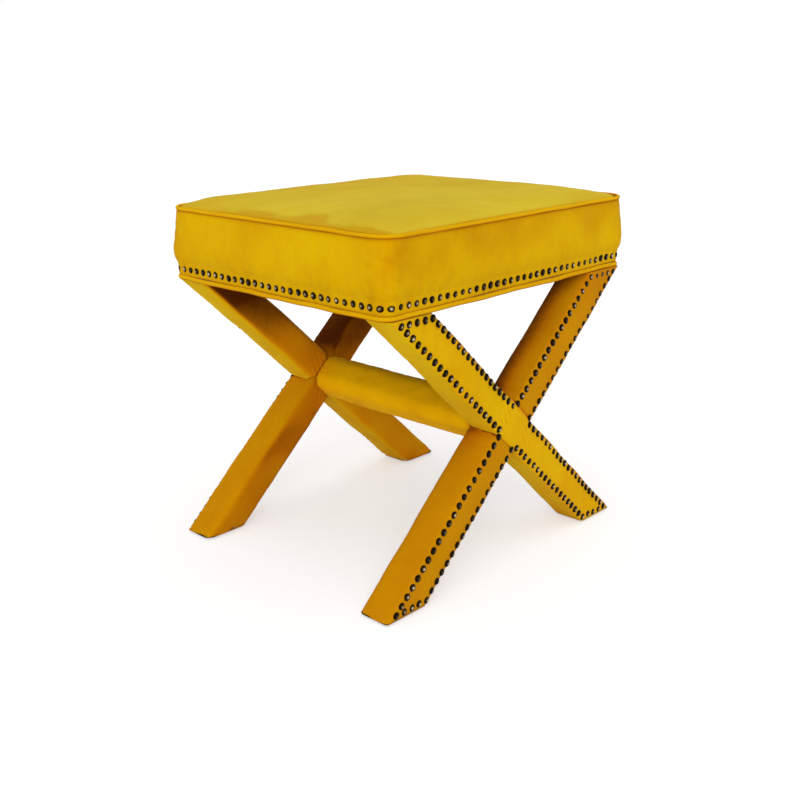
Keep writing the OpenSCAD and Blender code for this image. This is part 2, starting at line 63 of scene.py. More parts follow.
GLIDE_H, FIT_GAP = 3.0, 0.2
WELT_OUT_SHARE = 0.3

SEAM_Z = BASE_H + BOXING_H
BAND_Z = BASE_H + BAND_H
LEG_H = BASE_H - GLIDE_H
MEAN_SPAN = (FOOT_SPAN + TOP_SPAN) / 2
LEG_ANGLE = math.atan2(LEG_H, MEAN_SPAN) + math.asin(LEG_W / math.hypot(LEG_H, MEAN_SPAN))
SIN_A, COS_A = math.sin(LEG_ANGLE), math.cos(LEG_ANGLE)
LEG_RUN = LEG_W / SIN_A
FOOT_X, TOP_X = (FOOT_SPAN - LEG_RUN) / 2, (TOP_SPAN - LEG_RUN) / 2
CROSS_Z = GLIDE_H + LEG_H * FOOT_X / (FOOT_X + TOP_X)
LEG_Y = (BASE_D - LEG_T) / 2

HALF_W, HALF_T = LEG_W / 2, LEG_T / 2
ROW_HALF = HALF_W - NAIL_INSET
SIN_2A, COS_2A = math.sin(2 * LEG_ANGLE), math.cos(2 * LEG_ANGLE)
STRETCH_REACH = BASE_D / 2 - LEG_T - 0.1

# The padding of legs and stretcher lies this far inside its cover
PADDING_INSET = 2.2

# The simulation: steps, pressure, and in mm the most a point may move and how uneven the cloth starts
CLOTH_FRAMES, PRESSURE, CLOTH_CAP, START_NOISE = 14, 2.0, 4.0, 0.25

# Points along the seat's long and short sides and round each corner, and along a quarter of a leg's section
LINE_X, LINE_Y, ARC = 180, 144, 18
QUARTER = (12, 6, 12)

# Rows of points on a leg: along an arm, past a wall of the notch, between the walls and at each end
ARM_ROWS, LAG_ROWS, MID_ROWS, END_ROWS = 105, 28, 10, 7
# The shares of an arm that its last rows leave, and how far rows reach past a notch's wall, in mm
FOOT_ROWS = np.array([12, 9, 6.5, 4.5, 2.8, 1.4, 0.5, 0]) / 1000
NOTCH_REACH = 12.0


# Arrays and meshes

def unit(v):
    return v / np.maximum(np.linalg.norm(v, axis=-1, keepdims=True), 1e-9)


def smooth(x, lo=0.0, hi=1.0):
    t = np.clip((x - lo) / (hi - lo), 0, 1)
    return t * t * (3 - 2 * t)


def lumps(p, size, seed, count=28, stretch=(1, 1, 1)):
    """Smooth noise of about -1 to 1 at points p, with features of the given size in mm."""
    rng = np.random.default_rng(seed)
    k = unit(rng.normal(size=(count, 3))) * rng.uniform(0.6, 1.5, (count, 1))
    k *= 2 * math.pi / size / np.array(stretch)
    phase = rng.uniform(0, 2 * math.pi, count)
    flat = p.reshape(-1, 3)
    total = np.zeros(len(flat))
    for one, ph in zip(k, phase):
        total += np.sin(flat @ one + ph)
    return (total / math.sqrt(count / 2)).reshape(p.shape[:-1])


def near(p, centres, reach):
    """For each point, the highest of the bells of the given reach round the centres."""
    flat = p.reshape(-1, 3)
    height = np.zeros(len(flat))
    for c in centres:
        d2 = ((flat - c) ** 2).sum(1)
        close = d2 < (3.2 * reach) ** 2
        height[close] = np.maximum(height[close], np.exp(-d2[close] / reach ** 2))
    return height.reshape(p.shape[:-1])


def grid_faces(rows, cols, loop_rows=False, start=0):
    """Faces of a grid whose rows are closed, and which may close from its last row to its first."""
    faces = []
    for i in range(rows if loop_rows else rows - 1):
        a, b = start + i * cols, start + (i + 1) % rows * cols
        for j in range(cols):
            k = (j + 1) % cols
            faces.append((a + j, a + k, b + k, b + j))
    return faces


def mesh_of(name, verts, faces, flip=False, tone=None):
    """A smooth-shaded object from points in mm. tone, 0 to 1 at each point, is for its material to read."""
    if flip:
        faces = [f[::-1] for f in faces]
    me = bpy.data.meshes.new(name)
    me.from_pydata((np.asarray(verts).reshape(-1, 3) * MM).tolist(), [], faces)
    me.polygons.foreach_set("use_smooth", [True] * len(me.polygons))
    if tone is not None:
        values = np.zeros(len(me.vertices))
        values[:tone.size] = np.clip(tone.ravel(), 0, 1)
        me.attributes.new("tone", "FLOAT", "POINT").data.foreach_set("value", values)
    me.update()
    obj = bpy.data.objects.new(name, me)
    bpy.context.scene.collection.objects.link(obj)
    return obj


def welded(obj):
    """Joins points that fall together at the walls of the notch."""
    mesh = bmesh.new()
    mesh.from_mesh(obj.data)
    bmesh.ops.remove_doubles(mesh, verts=mesh.verts, dist=1e-7)
    mesh.to_mesh(obj.data)
    mesh.free()
    return obj


def capped(name, rows, flip=False, tone=None):
    """A closed object from a grid of rows, with a fan of faces over each end."""
    count, cols = rows.shape[:2]
    lo, hi, last = count * cols, count * cols + 1, (count - 1) * cols
    faces = grid_faces(count, cols)
    faces += [(lo, (j + 1) % cols, j) for j in range(cols)]
    faces += [(hi, last + j, last + (j + 1) % cols) for j in range(cols)]
    return mesh_of(name, np.vstack([rows.reshape(-1, 3), rows[0].mean(0), rows[-1].mean(0)]), faces, flip, tone)


def grid_normals(p):
    """Normals of a grid of closed rows of points, on the left of its rows as they rise."""
    return unit(np.cross(np.roll(p, -1, 1) - np.roll(p, 1, 1), np.gradient(p, axis=0)))


def outer_normals(p, outward):
    """Normals on the outward side, with the outward direction where a grid has none, and the sign that turns them."""
    n = grid_normals(p)
    sign = 1 if (n * outward).sum() > 0 else -1
    return np.where(np.linalg.norm(n, axis=-1, keepdims=True) > 0.5, n * sign, outward), sign


def onto(values, known, wanted):
    """The rows of a grid, known at some places, read at other places."""
    return np.array([np.interp(wanted, known, column) for column in values.T]).T


def doubled(values):
    """Rows known at every second column, filled in between."""
    full = np.repeat(values, 2, axis=1)
    full[:, 1::2] = (values + np.roll(values, -1, 1)) / 2
    return full


def band_pass(values, fine, coarse):
    """What is left of each closed row without waves shorter than fine or longer than coarse, in columns."""
    cols = values.shape[1]
    freq = np.fft.rfftfreq(cols)
    keep = np.exp(-(freq * fine) ** 2) - np.exp(-(freq * coarse) ** 2)
    return np.fft.irfft(np.fft.rfft(values, axis=1) * keep, cols, axis=1)


# Cloth simulation

def cloth_moves(p, held, slack, seed, give=0.015, sign=1):
    """How far, in mm along its normals, cloth round a grid of points moves with padding pressing behind it.

    held is 1 where it is nailed or sewn down, and slack is 1 where it has the most cloth to spare.
    """
    n = sign * grid_normals(p)
    start = p + n * (START_NOISE * lumps(p, 13, seed) * (1 - held))[..., None]
    obj = mesh_of("cloth_trial", start, grid_faces(len(p), p.shape[1]), flip=sign < 0)
    for name, values in (("held", held), ("taut", 1 - slack)):
        group = obj.vertex_groups.new(name=name)
        steps = np.round(np.clip(values, 0, 1).ravel() * 10).astype(int)
        for step in range(1, 11):
            group.add(np.nonzero(steps == step)[0].tolist(), step / 10, "REPLACE")
    modifier = obj.modifiers.new("cloth", "CLOTH")
    cloth = modifier.settings
    cloth.quality, cloth.mass, cloth.air_damping = 5, 0.3, 2.0
    cloth.tension_stiffness = cloth.compression_stiffness = 15
    cloth.shear_stiffness, cloth.bending_stiffness = 5, 1.0
    cloth.vertex_group_mass, cloth.vertex_group_shrink = "held", "taut"
    cloth.shrink_min, cloth.shrink_max = -give, 0.0
    cloth.use_pressure, cloth.uniform_pressure_force = True, PRESSURE
    cloth.effector_weights.gravity = 0
    modifier.collision_settings.use_collision = False
    modifier.point_cache.frame_end = CLOTH_FRAMES
    for frame_number in range(1, CLOTH_FRAMES + 1):
        bpy.context.scene.frame_set(frame_number)
    solved = obj.evaluated_get(bpy.context.evaluated_depsgraph_get())
    co = np.empty(p.size)
    solved.data.vertices.foreach_get("co", co)
    bpy.data.objects.remove(obj)
    bpy.context.scene.frame_set(1)
    move = ((co.reshape(p.shape) / MM - p) * n).sum(-1)
    return np.clip(np.nan_to_num(move), -CLOTH_CAP, CLOTH_CAP)


# Seat outline

def outline(hx, hy, r):
    """Points and outward directions round a rectangle with rounded corners, always the same number."""
    pts, out = [], []
    for c, (sx, sy) in enumerate(((1, 1), (-1, 1), (-1, -1), (1, -1))):
        for i in range(ARC):
            a = math.pi / 2 * (c + i / ARC)
            d = (math.cos(a), math.sin(a))
            pts.append((sx * (hx - r) + r * d[0], sy * (hy - r) + r * d[1]))
            out.append(d)
        n = LINE_X if c % 2 == 0 else LINE_Y
        a = math.pi / 2 * (c + 1)
        d = (math.cos(a), math.sin(a))
        nx, ny = ((-sx, sy) if c % 2 == 0 else (sx, -sy))
        p = np.array((sx * (hx - r) + r * d[0], sy * (hy - r) + r * d[1]))
        q = np.array((nx * (hx - r) + r * d[0], ny * (hy - r) + r * d[1]))
        for i in range(n):
            pts.append(tuple(p + (q - p) * i / n))
            out.append(d)
    return np.array(pts), np.array(out)


def ring3(hx, hy, r, z):
    pts, _ = outline(hx, hy, r)
    return np.column_stack([pts, np.full(len(pts), z)])


SWELL_AT = np.array([[0, 0], [0.04, 0.36], [0.09, 0.68], [0.15, 0.87], [0.23, 0.97],
                     [0.36, 1], [0.66, 1], [0.84, 0.96], [1, 0.87]])


def swell_at(z):
    return SWELL * np.interp((z - BAND_Z) / (SEAM_Z - BAND_Z), SWELL_AT[:, 0], SWELL_AT[:, 1])


def radius_at(z):
    return BAND_R + (SEAM_R - BAND_R) * min(1, max(0, (z - BAND_Z) / (SEAM_Z - BAND_Z)))


def nail_row(w, d, quarter):
    """Nail centres and outward directions along one side of the seat, as in the part."""
    flat = w / 2 - BAND_R
    reach = flat + BAND_R * math.pi / 4 - NAIL_CORNER
    count = round(2 * reach / NAIL_PITCH)
    pts, out = [], []
    for i in range(count + 1):
        u = reach * (2 * i / count - 1)
        turn = max(0, abs(u) - flat) / BAND_R * math.copysign(1, u)
        along = math.copysign(min(flat, abs(u)), u) + BAND_R * math.sin(turn)
        pts.append((along, -(d / 2 - BAND_R) - BAND_R * math.cos(turn), BASE_H + NAIL_RISE))
        out.append((math.sin(turn), -math.cos(turn), 0))
    c, s = round(math.cos(quarter * math.pi / 2)), round(math.sin(quarter * math.pi / 2))
    spin = np.array([[c, s, 0], [-s, c, 0], [0, 0, 1]])
    return np.array(pts) @ spin, np.array(out) @ spin


SEAT_ROWS = {"front": nail_row(SEAT_W, SEAT_D, 0), "rear": nail_row(SEAT_W, SEAT_D, 2),
             "right": nail_row(SEAT_D, SEAT_W, 1), "left": nail_row(SEAT_D, SEAT_W, 3)}
seat_nails = np.vstack([row[0] for row in SEAT_ROWS.values()])


def build_nails(name, centres, outward, seed):
    """Domed heads with a rolled rim, set by hand: each a little off its mark and tilted, with a crown brighter than
    its rim, partly polished by wear and partly a painted highlight, more on some heads than on others.
    """
    rng = np.random.default_rng(seed)
    edge, segs = NAIL_D / 2, 18
    ball = (NAIL_H ** 2 + edge ** 2) / (2 * NAIL_H)
    r = edge * np.array([0.01, 0.16, 0.32, 0.48, 0.64, 0.78, 0.89, 0.96, 1.0, 1.0, 0.9, 0.01])
    h = np.sqrt(ball ** 2 - r ** 2) - (ball - NAIL_H)
    h[-5:] = [0.42, 0.2, -0.3, -0.7, -0.7]
    # The crown is brighter than the rim: partly polished by wear, partly a painted highlight.
    crown_wear_and_highlight = np.clip(1 - r / edge, 0, 1)
    crown_wear_and_highlight[-4:] = 0
    a = 2 * math.pi * np.arange(segs) / segs
    verts, faces, tone = [], [], []
    for centre, n in zip(centres, outward):
        t = unit(np.cross((0, 0, 1), n))
        n = unit(n + 0.05 * rng.normal() * t + np.array((0, 0, 0.05 * rng.normal())))
        t = unit(np.cross((0, 0, 1), n))
        up = np.cross(n, t)
        centre = centre + 0.18 * rng.normal() * t + 0.18 * rng.normal() * up
        start = len(verts) * segs
        faces += [f[::-1] for f in grid_faces(len(r), segs, start=start)]
        last = start + len(r) * segs - 1
        faces += [tuple(range(start, start + segs)), tuple(range(last, last - segs, -1))]
        crown_wear_and_highlight_scale = rng.uniform(0.55, 1.0)
        for radius, height, bright in zip(r, h, crown_wear_and_highlight):
            verts.append(centre + n * height + radius * (np.cos(a)[:, None] * t + np.sin(a)[:, None] * up))
            tone.append(np.full(segs, bright * crown_wear_and_highlight_scale))
    return mesh_of(name, np.array(verts), faces, tone=np.array(tone))


# Seat boxing

def build_boxing():
    lo = BASE_H + BOTTOM_WELT_D + FIT_GAP
    hi = SEAM_Z - 0.32 * TOP_WELT_D
    rows = np.concatenate([np.linspace(lo, BAND_Z + 8, 24), np.linspace(BAND_Z + 10, hi, 32)])

    def wall(heights):
        return np.array([ring3(SEAT_W / 2 + swell_at(z), SEAT_D / 2 + swell_at(z), radius_at(z), z) for z in heights])

    # Cloth held by the seam, the piping and the nails, with more to spare above the nails and at the corners
    trial_z = np.concatenate([np.linspace(lo, BAND_Z + 8, 14), np.linspace(BAND_Z + 11, hi, 18)])
    trial = wall(trial_z)
    pinned = (near(trial, seat_nails, 3.0) > 0.45).astype(float)
    pinned[0] = pinned[-1] = 1
    above = trial_z[:, None] - BASE_H - NAIL_RISE
    slack = np.exp(-((above - 9) / 17.0) ** 2) * (0.7 + 0.3 * lumps(trial, 80, 6))
    slack += corner_share(trial) * (0.9 * smooth(above, 4, 12) * (1 - 0.5 * smooth(above, 30, 70)))
    slack += 0.5 * np.exp((trial_z[:, None] - hi) / 7.0) * (0.6 + 0.4 * lumps(trial, 60, 7))
    gathers = band_pass(cloth_moves(trial, pinned, slack, 4), 2.6, 26)
    p = wall(rows)
    n = grid_normals(p)
    share = (rows - lo)[:, None] / (hi - lo)
    corner = corner_share(p)
    amount = 0.35 * np.sin(math.pi * share) ** 0.5 * (1 + 0.8 * lumps(p, 150, 3))
    amount += 0.28 * lumps(p, 60, 5, stretch=(1, 1, 1.6))
    # The cloth is held flat under the nails and stands out a little between and beside them
    held = near(p, seat_nails, 6.0)
    row = np.exp(-((rows - BASE_H - NAIL_RISE) / 9.0) ** 2)[:, None]
    amount = amount + 0.9 * row * (1 - held) + 0.9 * np.exp(-((rows - BAND_Z + 0.5) / 3.4) ** 2)[:, None]
    # Gathers rise from the nails and die away up the boxing, strongest at the corners
    up = np.clip((rows - BASE_H - NAIL_RISE) / 52.0, 0, 1)[:, None]
    fade = (1 - up) ** 2 * smooth(rows, BASE_H + NAIL_RISE, BASE_H + NAIL_RISE + 7)[:, None]
    arc = np.cumsum(np.linalg.norm(np.diff(p[10], axis=0, append=p[10][:1]), axis=1))
    wave = np.sin(2 * math.pi * arc / 13.5 + 1.3 * np.sin(arc / 47)) * (0.35 + 0.65 * np.sin(arc / 31) ** 2)
    amount += fade * wave[None] * (0.1 + 0.35 * corner)
    folds = onto(gathers, trial_z, rows)
    amount += (0.55 + 0.35 * corner) * folds
    # Small gathers under the top seam
    top = np.exp(-(hi - rows) / 7.0)[:, None]
    amount = amount + top * 0.16 * np.sin(2 * math.pi * arc / 8.3)[None] - 0.4 * np.exp(-(hi - rows) / 1.6)[:, None]
    edge = np.exp(-(rows - lo) / 1.6)[:, None]
    amount = np.maximum(amount, -0.9) - 0.5 * edge
    p = p + n * amount[..., None]
    # On the front the pile is brushed down below a wavering line, and lies darker above it
    front = smooth(-n[..., 1], 0.45, 1.0)
    line = BAND_Z + 34 + 12 * lumps(p, 130, 21, stretch=(1, 1, 3)) + 0.05 * p[..., 0]
    tone = front * 0.21 * smooth(p[..., 2], line - 20, line + 26) * (0.85 + 0.2 * lumps(p, 70, 22))
    # Painted shade: darker at the corners, in a line under the top piping and just above the bottom piping, round the
    # nails and in the hollows of the folds. The sides away from the front also carry random patches of darker pile.
    tone = tone + (1 - front) * 0.06 * np.clip(lumps(p, 110, 23), 0, 1) + 0.07 * corner
    tone = tone + 0.12 * np.exp(-((hi - rows) / 5.0) ** 2)[:, None] + 0.12 * row * held
    tone = tone + 0.48 * np.exp(-((hi - rows) / 1.9) ** 2)[:, None] + 0.35 * edge
    tone -= (0.08 + 0.08 * corner) * np.clip(folds, -0.4, 0.15)
    inner = p[::-1] - n[::-1] * VELVET_T
    allp = np.concatenate([p, inner])
    return mesh_of("seat_boxing_velvet", allp, grid_faces(len(allp), p.shape[1], loop_rows=True), tone=tone)


def corner_share(p):
    """1 at the middle of a seat corner, falling to 0 along the sides."""
    dx = np.abs(SEAT_W / 2 - np.abs(p[..., 0]))
    dy = np.abs(SEAT_D / 2 - np.abs(p[..., 1]))
    return np.exp(-((dx + dy) / 30.0) ** 2)


# Seat top

def build_top():
    rim_in = TOP_WELT_D * (1 - WELT_OUT_SHARE) + FIT_GAP
    s_end = swell_at(SEAM_Z)
    hx, hy, r = SEAT_W / 2 + s_end - rim_in, SEAT_D / 2 + s_end - rim_in, SEAM_R - rim_in
    shares = np.concatenate([np.linspace(0, 0.05, 12), np.linspace(0.06, 0.3, 20), np.linspace(0.33, 0.97, 24)])
    rows = []
    for s in shares:
        z = SEAM_Z + CROWN_H * (1 - (1 - s) ** CROWN_POWER)
        rows.append(ring3(hx * (1 - s), hy * (1 - s), max(r * (1 - s), 0.5), z))
    p = np.array(rows)
    n = grid_normals(p)
    n[..., 2] = np.abs(n[..., 2])
    rim = np.linalg.norm(p - p[:1], axis=-1)
    # Cloth held by the seam and by the pad's middle, with some to spare along the seam and at the corners
    trial_s = np.linspace(0, 0.34, 22)
    trial = onto(p.reshape(len(p), -1), shares, trial_s).reshape(len(trial_s), -1, 3)
    pinned = np.zeros(trial.shape[:2])
    pinned[0] = pinned[-1] = 1
    from_rim = np.linalg.norm(trial - trial[:1], axis=-1)
    slack = np.exp(-from_rim / 15.0) * (0.5 + 0.3 * lumps(trial, 90, 8)) + 0.7 * corner_share(trial)
    gathers = band_pass(cloth_moves(trial, pinned, slack, 9), 2.6, 40)
    # The rim rolls down into the seam
    amount = -1.6 * np.exp(-rim / 2.0) + 0.9 * np.exp(-((rim - 9) / 9.0) ** 2)
    amount = amount + 0.5 * lumps(p, 170, 11) + 0.22 * lumps(p, 60, 12)
    arc = np.cumsum(np.linalg.norm(np.diff(p[0], axis=0, append=p[0][:1]), axis=1))[None]
    wave = np.sin(2 * math.pi * arc / 9.1 + 1.1 * np.sin(arc / 53)) * (0.3 + 0.7 * np.sin(arc / 67) ** 2)
    corner = corner_share(p)
    amount += 0.1 * np.exp(-((rim - 4) / 6.0) ** 2) * wave * (1 + 1.5 * corner)
    amount += 0.38 * onto(gathers, trial_s, shares)
    p = p + n * amount[..., None]
    # A brushed patch runs along the left rim, with a ragged inner edge
    from_left = p[..., 0] + hx
    edge = 17 + 8 * lumps(p, 90, 24) + 2.4 * lumps(p, 26, 25)
    patch = smooth(edge - from_left, -10, 8) * smooth(-p[..., 1], -150, -60)
    # Painted shade where the rim rolls down into the seam, weaker along the far sides; the panel also grows darker
    # towards the back, with random patches of darker pile.
    tone = 0.34 * patch + 0.12 * np.exp(-rim / 5.0) + 0.07 * np.clip(lumps(p, 120, 26), 0, 1)
    far = smooth(p[..., 1] - p[..., 0], 250, 400)
    tone += 0.62 * np.exp(-(rim / 3.2) ** 2) * (1 - 0.7 * far)
    tone += 0.15 * smooth(p[..., 1] + 0.3 * p[..., 0], -60, 200)
    lower = p[::-1].copy()
    lower[..., 2] -= VELVET_T
    return capped("seat_top_velvet", np.concatenate([lower, p]), tone=np.concatenate([tone[::-1] * 0, tone]))


# Piping

def build_piping(hx, hy, r, d, z, seed, ripple, wave):
    pts, out = outline(hx, hy, r)
    around = 16
    arc = np.cumsum(np.linalg.norm(np.diff(pts, axis=0, append=pts[:1]), axis=1))
    a = 2 * math.pi * np.arange(around) / around
    # Bias-cut velvet over a cord: fine slanted ripples, a little uneven
    rad = d / 2 + ripple * np.sin(2 * math.pi * arc[:, None] / 6.3 + a[None] * 1.0 + 1.2 * np.sin(arc[:, None] / 37))
    rad = rad * (1 + 0.02 * np.sin(arc[:, None] / 21 + seed))
    x = pts[:, None, 0] + out[:, None, 0] * rad * np.cos(a)
    y = pts[:, None, 1] + out[:, None, 1] * rad * np.cos(a)
    # It lies a little deeper all round, with painted shade on its underside and on its side towards the cloth behind
    # it, weaker along the far sides
    far = smooth(pts[:, 1:] - pts[:, :1], 300, 410)
    tone = 0.14 + 0.68 * smooth(-np.sin(a), 0.2, 0.9) + 0.5 * smooth(-np.cos(a), 0.0, 0.7) * (1 - 0.8 * far)
    z = z + wave * lumps(np.column_stack([pts, 0 * arc]), 70, seed)[:, None]
    return np.stack([x, y, z + rad * np.sin(a)], -1), around, np.broadcast_to(tone, rad.shape)


def build_top_piping():
    inset = TOP_WELT_D * (0.5 - WELT_OUT_SHARE)
    s = swell_at(SEAM_Z)
    p, n, tone = build_piping(SEAT_W / 2 + s - inset, SEAT_D / 2 + s - inset, SEAM_R - inset,
                              TOP_WELT_D, SEAM_Z, 1, 0.1, 0.2)
    return mesh_of("top_piping", p, grid_faces(len(p), n, loop_rows=True), flip=True, tone=tone)


def build_bottom_piping():
    inset = VELVET_T + WADDING_T - BOTTOM_WELT_D / 2 - FIT_GAP
    hx, hy, r = SEAT_W / 2 - inset, SEAT_D / 2 - inset, BAND_R - inset
    p, n, tone = build_piping(hx, hy, r, BOTTOM_WELT_D - 0.2, BASE_H + BOTTOM_WELT_D / 2, 2, 0.12, 0.35)
    faces = [f[::-1] for f in grid_faces(len(p), n, loop_rows=True)]
    # The flange under the frame, a thin closed band
    wide = np.linspace(0, 1, 9)
    frame_hx, frame_hy = SEAT_W / 2 - VELVET_T - WADDING_T - FLANGE_W, SEAT_D / 2 - VELVET_T - WADDING_T - FLANGE_W
    rows = [ring3(hx + (frame_hx - hx) * t, hy + (frame_hy - hy) * t, max(r * (1 - t), 0.6),
                  BASE_H + DUST_T + VELVET_T) for t in wide]
    top = np.array(rows)
    low = top.copy()
    low[..., 2] -= VELVET_T
    band = np.concatenate([low, top[::-1]])
    base = len(p) * n
    faces += [f[::-1] for f in grid_faces(len(band), band.shape[1], loop_rows=True, start=base)]
    return mesh_of("bottom_piping", np.vstack([p.reshape(-1, 3), band.reshape(-1, 3)]), faces, tone=tone)


# Legs, in a leg's own coordinates: l along it, w across it and y through it, with the outer face at -y

def section(hw, hy, r, quarter, far_r=None):
    """Points round a rounded rectangle, starting at w = hw on the middle plane, towards -y. far_r is for +y."""
    side, arc, face = quarter

    def corner(r):
        q = [(hw, -(hy - r) * i / side) for i in range(side)]
        for i in range(arc):
            a = math.pi / 2 * i / arc
            q.append((hw - r + r * math.cos(a), -(hy - r) - r * math.sin(a)))
        return np.array(q + [((hw - r) * (1 - i / face), -hy) for i in range(face)])

    q, far = corner(r), corner(far_r or r)
    end = np.array([[0, -hy]])
    second = np.vstack([end, q[:0:-1]]) * [-1, 1]
    fourth = np.vstack([end, far[:0:-1]]) * [1, -1]
    return np.vstack([q, second, far * [-1, -1], fourth])


def end_line(z):
    """Where the leg is cut level at height z over the cross: l = a + b w."""
    return -z / SIN_A, COS_A / SIN_A


def notch_line(side, back):
    """Some way back from where the other leg's side crosses this leg: l = a + b w."""
    return side * (HALF_W + back) / SIN_2A, COS_2A / SIN_2A


def lag_path(count, fold, depth):
    """Places on the cut-away half as the kept half passes the notch: offset from it, and share of its depth."""
    parts = [NOTCH_REACH - fold, math.pi / 2 * fold, depth - fold, NOTCH_REACH]
    total = sum(parts)
    out = []
    for i in range(count + 1):
        d = total * i / count
        if d < parts[0]:
            out.append((d - NOTCH_REACH, 1.0))
        elif d < parts[0] + parts[1]:
            a = (d - parts[0]) / fold
            out.append((-fold + fold * math.sin(a), 1 - fold * (1 - math.cos(a)) / depth))
        elif d < parts[0] + parts[1] + parts[2]:
            out.append((0.0, 1 - (fold + d - parts[0] - parts[1]) / depth))
        else:
            out.append((d - sum(parts[:3]), 0.0))
    return out


def leg_skin(leg, inset, quarter, counts, fold, sleeve):
    """Rows of points round a leg, inset from its cover, and which columns run whole through the cross.

    counts are rows along an arm, past a wall of the notch and between the walls. sleeve is how far the cloth's
    end swells over the other leg at its middle, and draws back at its corners.
    """
    kept_sign = -1 if leg == "a" else 1
    hw, depth = HALF_W - inset, HALF_T - inset
    sec = section(hw, depth, max(EDGE_R - inset, 1.0), quarter, FAR_EDGE_R - inset)
    w, y = sec[:, 0], sec[:, 1]
    kept = (np.sign(y) == kept_sign) | np.isclose(y, 0)
    arm_n, lag_n, mid_n = counts
    drawn = smooth(np.abs(w) / hw, 0.7, 0.95) * smooth(np.abs(y) / depth, 0.55, 0.9)
    shift = sleeve[0] * (1 - (w / hw) ** 2) - sleeve[1] * drawn + 0.5 * (1 - drawn)
    rows = []

    def add(l, scale_y=1.0):
        rows.append(np.column_stack([l, w, y * scale_y]))

    def along(a0, b0, a1, b1, t):
        return (a0 + b0 * w) * (1 - t) + (a1 + b1 * w) * t

    a_top, b_top = end_line(BASE_H - CROSS_Z - min(inset, 0.4))
    a_foot, b_foot = end_line(GLIDE_H + inset - CROSS_Z)
    path = lag_path(lag_n, fold, depth)
    for side in (-1, 1):
        a_n, b_n = notch_line(side, inset)
        a_near = a_n + side * NOTCH_REACH
        if side < 0:
            for t in np.linspace(0, 1, arm_n + 1)[:-1]:
                add(along(a_top, b_top, a_near, b_n, t))
        for i, (off, share) in enumerate(path if side < 0 else path[::-1]):
            l_kept = a_n + b_n * w - NOTCH_REACH + 2 * NOTCH_REACH * i / lag_n
            l_cut = a_n + b_n * w - side * (off + shift * smooth(off, -NOTCH_REACH, -fold / 2))
            add(np.where(kept, l_kept, l_cut), np.where(kept, 1.0, share))
        if side < 0:
            a_p, b_p = notch_line(1, inset)
            for t in np.linspace(0, 1, mid_n + 2)[1:-1]:
                add(along(a_n + NOTCH_REACH, b_n, a_p - NOTCH_REACH, b_p, t), np.where(kept, 1.0, 0.0))
        else:
            for t in np.concatenate([np.linspace(0, 0.984, arm_n + 1)[1:], 1 - FOOT_ROWS]):
                add(along(a_near, b_n, a_foot, b_foot, t))
    return np.array(rows), w, y, kept


def arm_gathers(p, row_range, nails, seed, sign):
    """Folds of the cloth of one arm, from a simulation of every second column, faded out at its ends."""
    arm = p[row_range]
    trial = arm[:, ::2]
    outer = smooth(-trial[..., 2] / HALF_T, 0.8, 1.0)
    pinned = (near(trial, nails, 2.6) > 0.45).astype(float)
    pinned[0] = pinned[-1] = 1
    rowdist = np.abs(np.abs(trial[..., 1]) - ROW_HALF)
    to_cross = np.abs(trial[..., 0]) - HALF_W / SIN_2A
    slack = 0.25 + 0.75 * outer * np.exp(-(rowdist / 8.0) ** 2) + 0.6 * np.exp(-to_cross / 22.0)
    move = cloth_moves(trial, pinned, slack, seed, sign=sign)
    move -= move.mean(0, keepdims=True)
    ends = np.minimum(np.arange(len(arm)), np.arange(len(arm))[::-1])
    return doubled(move * smooth(ends, 0, 8)[:, None])


def leg_world(p, leg, rear):
    """A leg's own coordinates turned into the frame's, mirrored for leg b and for the rear."""
    x = p[..., 0] * COS_A + p[..., 1] * SIN_A
    z = CROSS_Z - p[..., 0] * SIN_A + p[..., 1] * COS_A
    world = np.stack([x if leg == "a" else -x, p[..., 2] - LEG_Y, np.clip(z, GLIDE_H, BASE_H)], -1)
    if rear:
        world[..., 1] *= -1
    return world


def build_leg_padding(name, leg, rear):
    """The foam round a leg's core, under its cover."""
    p = leg_skin(leg, PADDING_INSET, (5, 2, 5), (18, 12, 4), 3.0, (0.0, 0.0))[0]
    return welded(capped(name, leg_world(p, leg, rear), flip=(leg == "a") == rear))


